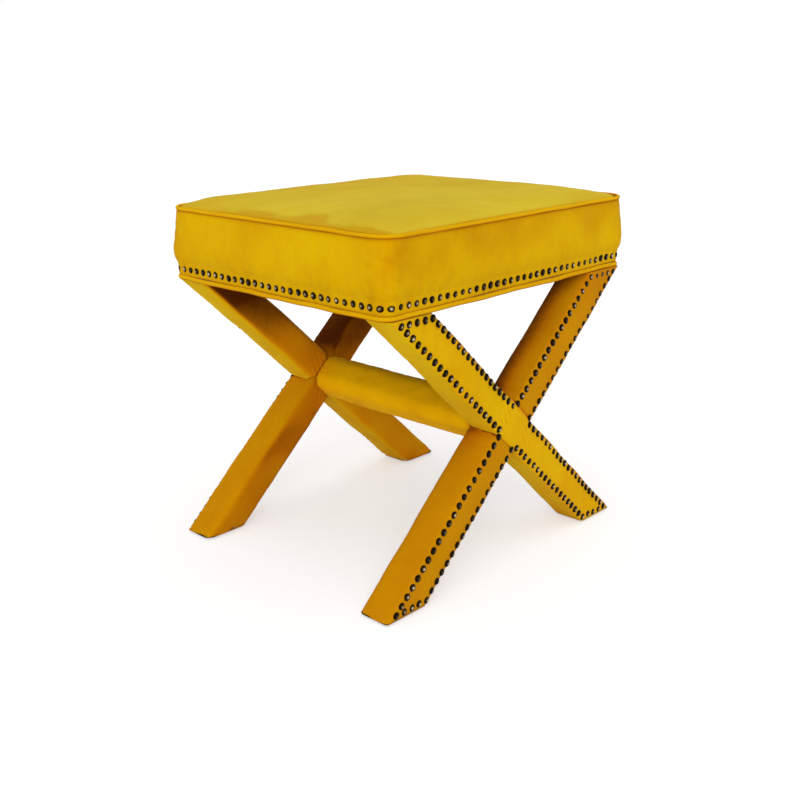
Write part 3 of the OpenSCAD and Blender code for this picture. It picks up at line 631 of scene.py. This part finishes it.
def build_leg(name, leg, rear, seed):
    """One upholstered leg as a closed skin. leg is "a" or "b": a keeps its outer half at the cross."""
    sleeve = (1.6, 3.2) if leg == "a" else (0.8, 1.6)
    p, w, y, kept = leg_skin(leg, 0.0, QUARTER, (ARM_ROWS, LAG_ROWS, MID_ROWS), 5.0, sleeve)

    def ends(row, down):
        """Rounds an end and closes it inwards, level with the cut."""
        out = []
        for share, drop in ((0.985, 0.0), (0.955, 0.35), (0.9, 0.55), (0.8, 0.6), (0.6, 0.6), (0.4, 0.6), (0.2, 0.6)):
            mid = np.array([row[:, 0].mean(), 0, 0])
            q = mid + (row - mid) * share
            q[:, 0] += down * drop
            out.append(q)
        return out

    p = np.array(ends(p[0], -1)[::-1] + list(p) + ends(p[-1], 1))
    outward = unit(np.stack([np.zeros_like(p[..., 0]), np.broadcast_to(w, p.shape[:2]),
                             np.broadcast_to(y, p.shape[:2])], -1))
    n, sign = outer_normals(p, outward)
    nails = leg_nails_local()
    lower_from = END_ROWS + ARM_ROWS + 2 * (LAG_ROWS + 1) + MID_ROWS
    gathers = np.zeros(p.shape[:2])
    for arm in (slice(END_ROWS, END_ROWS + ARM_ROWS), slice(lower_from, len(p) - END_ROWS)):
        gathers[arm] = arm_gathers(p, arm, nails, seed + arm.start, sign)
    face = smooth(np.abs(p[..., 2]) / HALF_T, 0.9, 1.0)
    side_face = smooth(np.abs(p[..., 1]) / HALF_W, 0.9, 1.0)
    body = np.ones(len(p))
    body[:8] = np.linspace(0, 1, 8)
    body[-8:] = np.linspace(1, 0, 8)
    full = np.abs(p[..., 2]) / np.maximum(np.abs(y)[None], 1e-6)
    at_wall = (full < 0.97) & ~kept[None]
    # The padding crowns each face a little, and the cloth lies in long soft waves
    crown = face * np.cos(p[..., 1] / HALF_W * math.pi / 2) + side_face * np.cos(p[..., 2] / HALF_T * math.pi / 2)
    amount = crown + 0.4 * lumps(p, 120, seed) + 0.2 * lumps(p, 45, seed + 1, stretch=(1.5, 1, 1))
    amount *= body[:, None]
    # The cloth is turned in under the foot, over an uneven round edge
    above = CROSS_Z - p[..., 0] * SIN_A + p[..., 1] * COS_A - GLIDE_H
    uneven = 2.6 * lumps(p, 34, seed + 6) * (1 - smooth(-p[..., 2] / HALF_T, 0.6, 1.0))
    round_r = np.maximum(2.0, (7.5 if rear and leg == "a" else 4.6) + uneven)
    drop = np.clip(round_r - above, 0, round_r)
    amount -= 0.8 * (round_r - np.sqrt(round_r ** 2 - drop ** 2)) * (above > 0.01)
    # Nails hold the cloth down on the outer face
    outer, inner = smooth(-p[..., 2] / HALF_T, 0.8, 1.0), smooth(p[..., 2] / HALF_T, 0.8, 1.0)
    held = near(p, nails, 5.6)
    rowdist = np.abs(np.abs(p[..., 1]) - ROW_HALF)
    amount += outer * (0.45 * np.exp(-(rowdist / 7.0) ** 2) * (1 - 1.6 * held) - 0.35 * held)
    # Pulls from the cross: short creases that fan out from its inner corners
    q = np.abs(p[..., 0]) - HALF_W / SIN_2A
    pull = np.exp(-np.maximum(q, 0) / 16.0) * (q > -4)
    crease = np.sin(p[..., 1] * 0.62 + p[..., 0] * 0.35 + seed) * (0.4 + 0.6 * np.sin(p[..., 1] * 0.21 + seed) ** 2)
    amount += (0.75 if leg == "b" else 0.5) * pull * crease * (face + side_face)
    amount += (0.3 - 0.14 * inner) * gathers
    amount = np.where(at_wall, np.minimum(amount, 0) * 0.3, amount)
    p = p + n * amount[..., None]
    inner, back = smooth(p[..., 2] / HALF_T, 0.8, 1.0), smooth(p[..., 2] / HALF_T, -0.7, 0.8)
    world = leg_world(p, leg, rear)
    # Painted shade: faces turned in, the side faces and the faces close under the seat, and the cloth near the foot
    # lie in the deeper tone. A darker patch also lies low on the rear leg b's inner face.
    high, top = smooth(world[..., 2], 150, 330), smooth(world[..., 2], 230, 380)
    under_seat, at_foot = smooth(world[..., 2], 300, 372), 1 - smooth(world[..., 2], 3, 130)
    lower, upper = smooth(-p[..., 1] / HALF_W, 0.8, 1.0), smooth(p[..., 1] / HALF_W, 0.8, 1.0)
    if leg == "a":
        tone = outer * (0.12 + 0.08 * top) + upper * (0.3 + 0.2 * top)
        tone += inner * (0.36 + 0.25 * high + 0.52 * smooth(world[..., 2], 265, 375))
        tone = tone + 0.12 * at_foot + 0.1 * lower * (1 - top)
    else:
        tone = 0.2 * top * outer + inner * (0.32 + 0.3 * high + 0.4 * under_seat) + lower * (0.33 + 0.1 * at_foot)
        if rear:
            tone += (upper + 0.32 * inner) * smooth(world[..., 2], 200, 250)
            tone += 0.24 * inner * np.exp(-((world[..., 2] - 125) / 38) ** 2) * (1 + 0.4 * lumps(p, 50, 36))
        else:
            tone += upper * (0.1 + 0.1 * top)
            tone += 0.85 * upper * back * smooth(world[..., 2], 150, 210) * (1 - 0.2 * top)
    # Painted shade at the walls of the notch, round the nails and in the hollows of the creases and folds; the lumps
    # add random darker pile.
    tone = tone + 0.04 * lumps(p, 80, seed + 4) + 0.5 * at_wall + 0.12 * outer * held
    tone = tone - 0.2 * pull * np.minimum(crease, 0.2) - 0.03 * gathers
    return welded(capped(name, world, flip=(leg == "a") == rear, tone=tone))


def nail_rows():
    """Nail centres of leg a's arms in X and height over the cross, as in the part."""
    first = max(FIRST_NAIL_SHARE * LEG_PITCH, (NAIL_D / 2 + FIT_GAP) / SIN_A)

    def row_x(edge, z):
        return (edge * ROW_HALF - z * COS_A) / SIN_A

    def row(a, b):
        span = math.dist(a, b)
        count = max(1, round((span - first) / LEG_PITCH))
        return [tuple(b[k] + (a[k] - b[k]) * i * (span - first) / count / span for k in (0, 1))
                for i in range(count + 1)]

    def end(a, b):
        count = max(1, round(math.dist(a, b) / LEG_PITCH))
        return [tuple(a[k] + (b[k] - a[k]) * i / count for k in (0, 1)) for i in range(1, count)]

    pts = []
    for up in (-1, 1):
        z = BASE_H - NAIL_TOP - CROSS_Z if up > 0 else GLIDE_H + NAIL_FOOT - CROSS_Z
        outer, inner = (row_x(-up, z), z), (row_x(up, z), z)
        pts += row((-up * ROW_HALF / SIN_A, 0), outer) + row((0, up * ROW_HALF / COS_A), inner)
        pts += end(outer, inner)
    return pts


def leg_nails_local():
    """Leg a's nails in the leg's own coordinates, where they are also leg b's."""
    return np.array([(x * COS_A - z * SIN_A, x * SIN_A + z * COS_A, -HALF_T) for x, z in nail_rows()])


# Stretcher

def stretcher_skin(inset, quarter, count):
    """Rows of points along the stretcher, inset from its cover, drawn in to a round pillow's ends."""
    sec = section(STRETCHER_W / 2 - inset, STRETCHER_W / 2 - inset, STRETCHER_R - inset, quarter)
    reach, fold = STRETCH_REACH - inset, 7.0
    rows = [(-reach, share) for share in (0.3, 0.5, 0.66, 0.76)]
    for y in np.linspace(-reach, reach, count):
        near_end = max(0.0, fold - (reach - abs(y)))
        rows.append((y, 1 - 0.8 * (fold - math.sqrt(fold ** 2 - near_end ** 2)) / (STRETCHER_W / 2)))
    rows += [(reach, share) for share in (0.76, 0.66, 0.5, 0.3)]
    return np.array([np.column_stack([sec * share, np.full(len(sec), y)]) for y, share in rows]), sec


def stretcher_world(p):
    c = math.sqrt(0.5)
    return np.stack([(p[..., 0] - p[..., 1]) * c, p[..., 2], CROSS_Z + (p[..., 0] + p[..., 1]) * c], -1)


def build_stretcher_padding():
    """The foam round the stretcher's core, under its cover."""
    return capped("stretcher_padding", stretcher_world(stretcher_skin(PADDING_INSET, (4, 3, 4), 30)[0]))


def build_stretcher():
    reach = BASE_D / 2 - LEG_T
    p, sec = stretcher_skin(0.0, (11, 7, 11), 150)
    outward = unit(np.concatenate([np.broadcast_to(sec, p[..., :2].shape), np.zeros(p.shape[:2] + (1,))], -1))
    n, sign = outer_normals(p, outward)
    # The cloth is gathered into the ends and nailed there
    trial = p[4:-4, ::2]
    pinned = np.zeros(trial.shape[:2])
    pinned[0] = pinned[-1] = 1
    slack = 0.12 + np.exp(-(reach - np.abs(trial[..., 2])) / 16.0)
    move = cloth_moves(trial, pinned, slack, 34, give=0.03, sign=sign)
    gathers = np.zeros(p.shape[:2])
    gathers[4:-4] = doubled(band_pass(move, 1.6, 16))
    edge = reach - np.abs(p[..., 2])
    a = np.arctan2(sec[:, 1], sec[:, 0])[None]
    flat = 1 - smooth(np.abs(sec).min(1)[None] / (STRETCHER_W / 2), 0.55, 1.0)
    body = np.clip(edge / 6.0, 0, 1)
    amount = 0.7 * flat + 0.45 * lumps(p, 110, 31) + 0.2 * lumps(p, 40, 32, stretch=(1, 1, 1.8))
    pleat = np.sin(a * 19 + 0.7 + 0.05 * p[..., 2]) * (0.3 + 0.9 * np.sin(a * 2.5 + 1) ** 2)
    amount = amount * body + 0.5 * pleat * np.exp(-edge / 13.0) * np.clip(edge / 3.0, 0, 1) + 0.6 * gathers
    p = p + n * amount[..., None]
    world = stretcher_world(p)
    # Painted shade: its upper faces, under the seat, lie a little darker, and so do the puckers at its ends where
    # they meet the legs
    tone = 0.03 * smooth(world[..., 2] - CROSS_Z, -2, 22) + 0.4 * np.exp(-edge / 4.0) + 0.05 * lumps(p, 50, 33) + 0.02
    return capped("stretcher_velvet", world, tone=tone)


# Dust cover

def build_dust_cover():
    hx, hy, r = SEAT_W / 2 - DUST_IN, SEAT_D / 2 - DUST_IN, BAND_R - DUST_IN / 2
    shares = np.concatenate([[0, 0.006, 0.012], np.linspace(0.03, 0.95, 34)])
    low = np.array([ring3(hx * (1 - s), hy * (1 - s), max(r * (1 - s), 0.5), BASE_H) for s in shares])
    sag = lumps(low, 70, 41) * 0.5 + 0.5
    inside = smooth(np.linalg.norm(low - low[:1], axis=-1), 4, 60)
    up = 0.45 * np.clip(sag, 0, 1) * inside
    hem = np.linalg.norm(low - low[:1], axis=-1) < 9
    low[..., 2] += np.where(hem, 0.0, 0.12 + up * 0.5)
    high = low.copy()
    high[..., 2] = BASE_H + DUST_T
    return capped("dust_cloth_piece", np.concatenate([high[::-1], low]), flip=True)


# Materials

class Shader:
    """A material with one Principled shader and helpers for its nodes."""

    def __init__(self, name):
        self.mat = bpy.data.materials.new(name)
        self.mat.use_nodes = True
        self.tree = self.mat.node_tree
        self.bsdf = self.tree.nodes["Principled BSDF"]
        self.coords = self.tree.nodes.new("ShaderNodeTexCoord").outputs["Object"]

    def set(self, **values):
        for key, value in values.items():
            self.bsdf.inputs[key.replace("_", " ")].default_value = value

    def link(self, a, b):
        self.tree.links.new(a, b)

    def feed(self, socket, value):
        """Sets a socket to a number or colour, or links it."""
        if isinstance(value, (int, float)):
            socket.default_value = value
        elif isinstance(value, tuple):
            socket.default_value = (*value, 1)
        else:
            self.link(value, socket)

    def mapped(self, scale):
        node = self.tree.nodes.new("ShaderNodeMapping")
        node.inputs["Scale"].default_value = scale
        self.link(self.coords, node.inputs["Vector"])
        return node.outputs["Vector"]

    def noise(self, scale, detail=3.0, rough=0.5, vector=None, distortion=0.0):
        node = self.tree.nodes.new("ShaderNodeTexNoise")
        node.inputs["Scale"].default_value = scale
        node.inputs["Detail"].default_value = detail
        node.inputs["Roughness"].default_value = rough
        node.inputs["Distortion"].default_value = distortion
        self.link(vector or self.coords, node.inputs["Vector"])
        return node.outputs["Fac"]

    def ramp(self, fac, stops):
        node = self.tree.nodes.new("ShaderNodeValToRGB")
        ramp = node.color_ramp
        while len(ramp.elements) < len(stops):
            ramp.elements.new(0.5)
        for element, (at, colour) in zip(ramp.elements, stops):
            element.position = at
            element.color = (*colour, 1)
        self.link(fac, node.inputs["Fac"])
        return node.outputs["Color"]

    def mix(self, fac, a, b, blend="MIX"):
        node = self.tree.nodes.new("ShaderNodeMix")
        node.data_type = "RGBA"
        node.blend_type = blend
        for socket, value in ((node.inputs[0], fac), (node.inputs[6], a), (node.inputs[7], b)):
            self.feed(socket, value)
        return node.outputs[2]

    def math(self, op, a, b=0.0):
        node = self.tree.nodes.new("ShaderNodeMath")
        node.operation = op
        self.feed(node.inputs[0], a)
        self.feed(node.inputs[1], b)
        return node.outputs[0]

    def bump(self, height, distance, strength=1.0, normal=None):
        node = self.tree.nodes.new("ShaderNodeBump")
        node.inputs["Strength"].default_value = strength
        node.inputs["Distance"].default_value = distance
        self.link(height, node.inputs["Height"])
        if normal is not None:
            self.link(normal, node.inputs["Normal"])
        return node.outputs["Normal"]

    def colour(self, socket):
        self.link(socket, self.bsdf.inputs["Base Color"])

    def normal(self, socket):
        self.link(socket, self.bsdf.inputs["Normal"])


def srgb(r, g, b):
    def one(c):
        c /= 255
        return c / 12.92 if c <= 0.04045 else ((c + 0.055) / 1.055) ** 2.4
    return one(r), one(g), one(b)


def velvet(name, light, dark, mid, deep, nap=(1.0, 1.0, 1.0), contrast=0.5, sheen=0.08):
    """Short-pile velvet: brushed patches of light and dark, then mid and deep by the tone attribute, which mostly
    carries painted shade, and a pile.
    """
    s = Shader(name)
    patches = s.noise(9.0, 2.0, 0.5, s.mapped(nap), 0.6)
    strokes = s.noise(42.0, 3.0, 0.55, s.mapped(nap), 0.3)
    field = s.math("ADD", s.math("MULTIPLY", patches, 0.7), s.math("MULTIPLY", strokes, 0.3))
    base = s.ramp(field, [(0.5 - contrast / 2, dark), (0.5 + contrast / 2, light)])
    laid = s.tree.nodes.new("ShaderNodeAttribute")
    laid.attribute_name = "tone"
    twice = s.math("MULTIPLY", laid.outputs["Fac"], 2.0)
    base = s.mix(s.math("SUBTRACT", twice, 1.0), s.mix(twice, base, mid), deep)
    pile = s.noise(1900.0, 2.0, 0.6)
    tint = s.ramp(pile, [(0.3, (0.88, 0.85, 0.8)), (0.7, (1.0, 1.0, 1.0))])
    s.colour(s.mix(1.0, base, tint, "MULTIPLY"))
    s.set(Roughness=0.95, Specular_IOR_Level=0.04, Sheen_Weight=sheen, Sheen_Roughness=0.45,
          Sheen_Tint=(1.0, 0.74, 0.2, 1))
    fine = s.bump(pile, 0.00018, 0.55)
    s.normal(s.bump(strokes, 0.0006, 0.35, fine))
    return s.mat


def bronze():
    """Antiqued bronze: dark in the rim and bright on the crown by the tone attribute, partly polished by wear and
    partly a painted highlight.
    """
    s = Shader("nail_bronze_metal")
    tarnish = s.noise(1500.0, 4.0, 0.6)
    wear_and_highlight_attr = s.tree.nodes.new("ShaderNodeAttribute")
    wear_and_highlight_attr.attribute_name = "tone"
    wear_and_highlight_fac = s.math("ADD", wear_and_highlight_attr.outputs["Fac"], s.math("MULTIPLY", s.math("SUBTRACT", tarnish, 0.5), 0.5))
    s.colour(s.ramp(wear_and_highlight_fac, [(0.1, (0.006, 0.004, 0.001)), (0.4, (0.024, 0.014, 0.004)),
                           (0.6, (0.15, 0.1, 0.04)), (0.86, (0.72, 0.6, 0.4))]))
    s.link(s.ramp(wear_and_highlight_fac, [(0.2, (0.5,) * 3), (0.7, (0.24,) * 3)]), s.bsdf.inputs["Roughness"])
    s.set(Metallic=1.0)
    s.normal(s.bump(s.noise(2600.0, 2.0), 0.00008, 0.4))
    return s.mat


def timber(name, light, dark, scale):
    s = Shader(name)
    v = s.mapped(scale)
    grain = s.noise(28.0, 6.0, 0.6, v, 1.2)
    fine = s.noise(240.0, 3.0, 0.6, v)
    s.colour(s.mix(0.3, s.ramp(grain, [(0.35, dark), (0.65, light)]), s.ramp(fine, [(0.3, dark), (0.7, light)])))
    s.set(Roughness=0.6)
    s.normal(s.bump(fine, 0.0003, 0.4))
    return s.mat


def steel():
    s = Shader("zinc_steel")
    v = s.noise(420.0, 3.0)
    s.colour(s.ramp(v, [(0.3, (0.42, 0.43, 0.44)), (0.7, (0.66, 0.67, 0.68))]))
    s.set(Metallic=1.0, Roughness=0.34)
    s.normal(s.bump(s.noise(1500.0, 2.0), 0.00008, 0.4))
    return s.mat


def foam():
    s = Shader("seat_foam_pad")
    cells = s.noise(1200.0, 4.0, 0.7)
    s.colour(s.ramp(cells, [(0.3, (0.66, 0.6, 0.42)), (0.7, (0.86, 0.82, 0.66))]))
    s.set(Roughness=0.95)
    s.normal(s.bump(cells, 0.0004, 0.7))
    return s.mat


def black_cloth():
    s = Shader("black_nonwoven")
    fibres = s.noise(700.0, 5.0, 0.7, s.mapped((1, 1, 1)), 1.5)
    s.colour(s.ramp(fibres, [(0.3, (0.008, 0.008, 0.009)), (0.7, (0.03, 0.03, 0.032))]))
    s.set(Roughness=0.88)
    s.normal(s.bump(fibres, 0.0003, 0.8))
    return s.mat


def nylon():
    s = Shader("black_nylon")
    v = s.noise(600.0, 3.0)
    s.colour(s.ramp(v, [(0.3, (0.012, 0.012, 0.012)), (0.7, (0.028, 0.028, 0.028))]))
    s.set(Roughness=0.45)
    s.normal(s.bump(v, 0.00012, 0.5))
    return s.mat


def paint(obj, mat):
    obj.data.materials.clear()
    obj.data.materials.append(mat)


# ORANGE and DEEP are the colours that the tone attribute mixes towards, on the velvet mostly painted shade.
ORANGE, DEEP = srgb(224, 140, 0), srgb(98, 41, 0)
NAP = (0.8, 1.2, 0.8)
# The top panel's colours are paler and whiter than the boxing's: a painted sheen on the same velvet.
velvet_top_painted_sheen = velvet("velvet_top_painted_sheen", srgb(224, 198, 50), srgb(210, 182, 34), srgb(204, 152, 0), srgb(150, 84, 0),
                    (0.7, 1.4, 1.0), 0.4, 0.14)
velvet_seat = velvet("velvet_seat", srgb(236, 190, 0), srgb(224, 170, 0), srgb(199, 132, 0), DEEP, (1, 1, 0.6), 0.4)
velvet_leg = {
    "a": velvet("velvet_leg_a", srgb(242, 202, 10), srgb(230, 184, 0), ORANGE, DEEP, NAP, 0.45),
    "b": velvet("velvet_leg_b", srgb(216, 152, 0), srgb(202, 134, 0), srgb(196, 116, 0), DEEP, NAP, 0.45),
}
# The stretcher's colours are the lightest of the velvet: painted light that makes up for the shade of the seat above
# it.
velvet_stretcher_painted_light = velvet("velvet_stretcher_painted_light", srgb(255, 196, 0), srgb(250, 184, 0), ORANGE, DEEP, NAP, 0.45)
velvet_piping = velvet("velvet_piping", srgb(238, 198, 6), srgb(222, 174, 0), ORANGE, DEEP, (1, 1, 1), 0.4)

bronze_mat, steel_mat, foam_mat, nylon_mat = bronze(), steel(), foam(), nylon()
timber_mat = timber("planed_timber", (0.52, 0.36, 0.2), (0.36, 0.22, 0.11), (1, 6, 6))
plywood_mat = timber("sanded_plywood", (0.6, 0.45, 0.27), (0.46, 0.32, 0.17), (1, 5, 8))
BY_SLOT = {"timber": timber_mat, "plywood": plywood_mat, "steel": steel_mat, "foam": foam_mat,
           "nail_bronze": bronze_mat, "glide_nylon": nylon_mat}
for sub in frame["record"]["subparts"]:
    mat = BY_SLOT.get(sub["material_slot"])
    if mat:
        paint(frame["nodes"][sub["node"]], mat)


def settle(obj, mat, slot, *nodes, fill=None):
    paint(obj, mat)
    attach(obj, "root")
    if nodes:
        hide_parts(*nodes)
    return obj


settle(build_boxing(), velvet_seat, "velvet", "seat_boxing", fill=0.95)
settle(build_top(), velvet_top_painted_sheen, "velvet", "seat_top_panel", fill=0.95)
settle(build_top_piping(), velvet_piping, "piping", "top_welt")
settle(build_bottom_piping(), velvet_piping, "piping", "bottom_welt")
for rear, end in ((False, "front"), (True, "rear")):
    for leg in "ab":
        node = f"{end}_leg_{leg}_cover"
        obj = build_leg(f"{end}_leg_{leg}_velvet", leg, rear, 50 + 7 * rear + ord(leg))
        settle(obj, velvet_leg[leg], "velvet", node, fill=0.95)
        settle(build_leg_padding(f"{end}_leg_{leg}_padding", leg, rear), foam_mat, "foam", f"{end}_leg_{leg}_foam",
               fill=1.0)
settle(build_stretcher(), velvet_stretcher_painted_light, "velvet", "stretcher_cover", fill=0.95)
settle(build_stretcher_padding(), foam_mat, "foam", "stretcher_foam", fill=1.0)
for side, (centres, outward) in SEAT_ROWS.items():
    settle(build_nails(f"{side}_seat_nail_heads", centres, outward, 70 + len(side)), bronze_mat,
           "nail_bronze", f"seat_nails_{side}")
for end, sign in (("front", -1), ("rear", 1)):
    centres, outward = [], []
    for x, z in nail_rows():
        # On the front frame the heads lean out a little, over the round of the padding
        lean = math.copysign(NAIL_LEAN if sign < 0 else 0.0, x * SIN_A + z * COS_A)
        for m in (1, -1):
            centres.append((m * x, sign * BASE_D / 2 - (REAR_NAIL_SINK if sign > 0 else 0.0), CROSS_Z + z))
            outward.append((m * lean * SIN_A, sign, lean * COS_A))
    settle(build_nails(f"{end}_leg_nail_heads", np.array(centres), unit(np.array(outward)), 80 + sign),
           bronze_mat, "nail_bronze", f"{end}_leg_nails")
dust = settle(build_dust_cover(), black_cloth(), "dust_cloth", "dust_cover")


# Stage, light and camera

def is_seen(tree):
    """1 for what the camera sees, directly or in a reflection."""
    path = tree.nodes.new("ShaderNodeLightPath")
    out = path.outputs["Is Camera Ray"]
    for other in ("Is Glossy Ray", "Is Transmission Ray"):
        node = tree.nodes.new("ShaderNodeMath")
        node.operation = "MAXIMUM"
        tree.links.new(out, node.inputs[0])
        tree.links.new(path.outputs[other], node.inputs[1])
        out = node.outputs[0]
    return out


def build_stage():
    size = 60000.0
    floor = mesh_of("floor", [(-size, -size, 0), (size, -size, 0), (size, size, 0), (-size, size, 0)],
                    [(0, 1, 2, 3)])
    s = Shader("pale_floor")
    s.set(Roughness=1.0, Specular_IOR_Level=0.0, Emission_Strength=1.0)
    seen = is_seen(s.tree)
    s.colour(s.mix(seen, (0.82, 0.82, 0.82), (0.64, 0.64, 0.64)))
    s.link(s.mix(seen, (0.0, 0.0, 0.0), (0.5, 0.5, 0.5)), s.bsdf.inputs["Emission Color"])
    # From below the floor is clear, so the underside can be looked at
    clear = s.tree.nodes.new("ShaderNodeBsdfTransparent")
    mix = s.tree.nodes.new("ShaderNodeMixShader")
    back = s.tree.nodes.new("ShaderNodeNewGeometry").outputs["Backfacing"]
    s.link(back, mix.inputs[0])
    s.link(s.bsdf.outputs[0], mix.inputs[1])
    s.link(clear.outputs[0], mix.inputs[2])
    s.link(mix.outputs[0], s.tree.nodes["Material Output"].inputs["Surface"])
    paint(floor, s.mat)


def build_world(strength):
    world = bpy.data.worlds.new("studio")
    world.use_nodes = True
    tree = world.node_tree
    tree.nodes.clear()
    out = tree.nodes.new("ShaderNodeOutputWorld")
    mix = tree.nodes.new("ShaderNodeMixShader")
    lit, shown = tree.nodes.new("ShaderNodeBackground"), tree.nodes.new("ShaderNodeBackground")
    lit.inputs["Strength"].default_value = strength
    shown.inputs["Strength"].default_value = 1.0
    for node in (lit, shown):
        node.inputs["Color"].default_value = (1, 1, 1, 1)
    tree.links.new(is_seen(tree), mix.inputs[0])
    tree.links.new(lit.outputs[0], mix.inputs[1])
    tree.links.new(shown.outputs[0], mix.inputs[2])
    tree.links.new(mix.outputs[0], out.inputs["Surface"])
    bpy.context.scene.world = world


def add_sun(name, towards, strength, angle):
    data = bpy.data.lights.new(name, "SUN")
    data.energy, data.angle = strength, math.radians(angle)
    sun = bpy.data.objects.new(name, data)
    sun.rotation_mode = "QUATERNION"
    sun.rotation_quaternion = Vector(towards).to_track_quat("-Z", "Y")
    bpy.context.scene.collection.objects.link(sun)


def build_camera():
    yaw, pitch, roll = 0.78601, 0.26839, -0.01076
    place, focal_px = (-1076.874, -987.060, 657.862), 1061.355
    middle = (358.332, 354.115)
    fwd = np.array([math.sin(yaw) * math.cos(pitch), math.cos(yaw) * math.cos(pitch), -math.sin(pitch)])
    right = np.array([math.cos(yaw), -math.sin(yaw), 0])
    up = np.cross(right, fwd)
    r2 = math.cos(roll) * right + math.sin(roll) * up
    u2 = -math.sin(roll) * right + math.cos(roll) * up
    data = bpy.data.cameras.new("camera")
    data.sensor_width, data.lens = 36.0, focal_px / 800 * 36.0
    data.clip_end = 100.0
    # The photograph's own middle of view lies off its frame's centre
    data.shift_x, data.shift_y = (400 - middle[0]) / 800, (middle[1] - 400) / 800
    cam = bpy.data.objects.new("camera", data)
    m = np.identity(4)
    m[:3] = np.column_stack([r2, u2, -fwd, np.array(place) * MM])
    cam.matrix_world = Matrix(m.tolist())
    bpy.context.scene.collection.objects.link(cam)
    bpy.context.scene.camera = cam


build_stage()
build_world(0.52)
add_sun("key", (0.64, 0.57, -0.4), 1.05, 35)
add_sun("fill", (0.75, 0.62, -0.05), 0.35, 50)
add_sun("overhead", (0.1, 0.15, -1.0), 0.75, 60)
bpy.context.scene.view_settings.view_transform = "Standard"
build_camera()
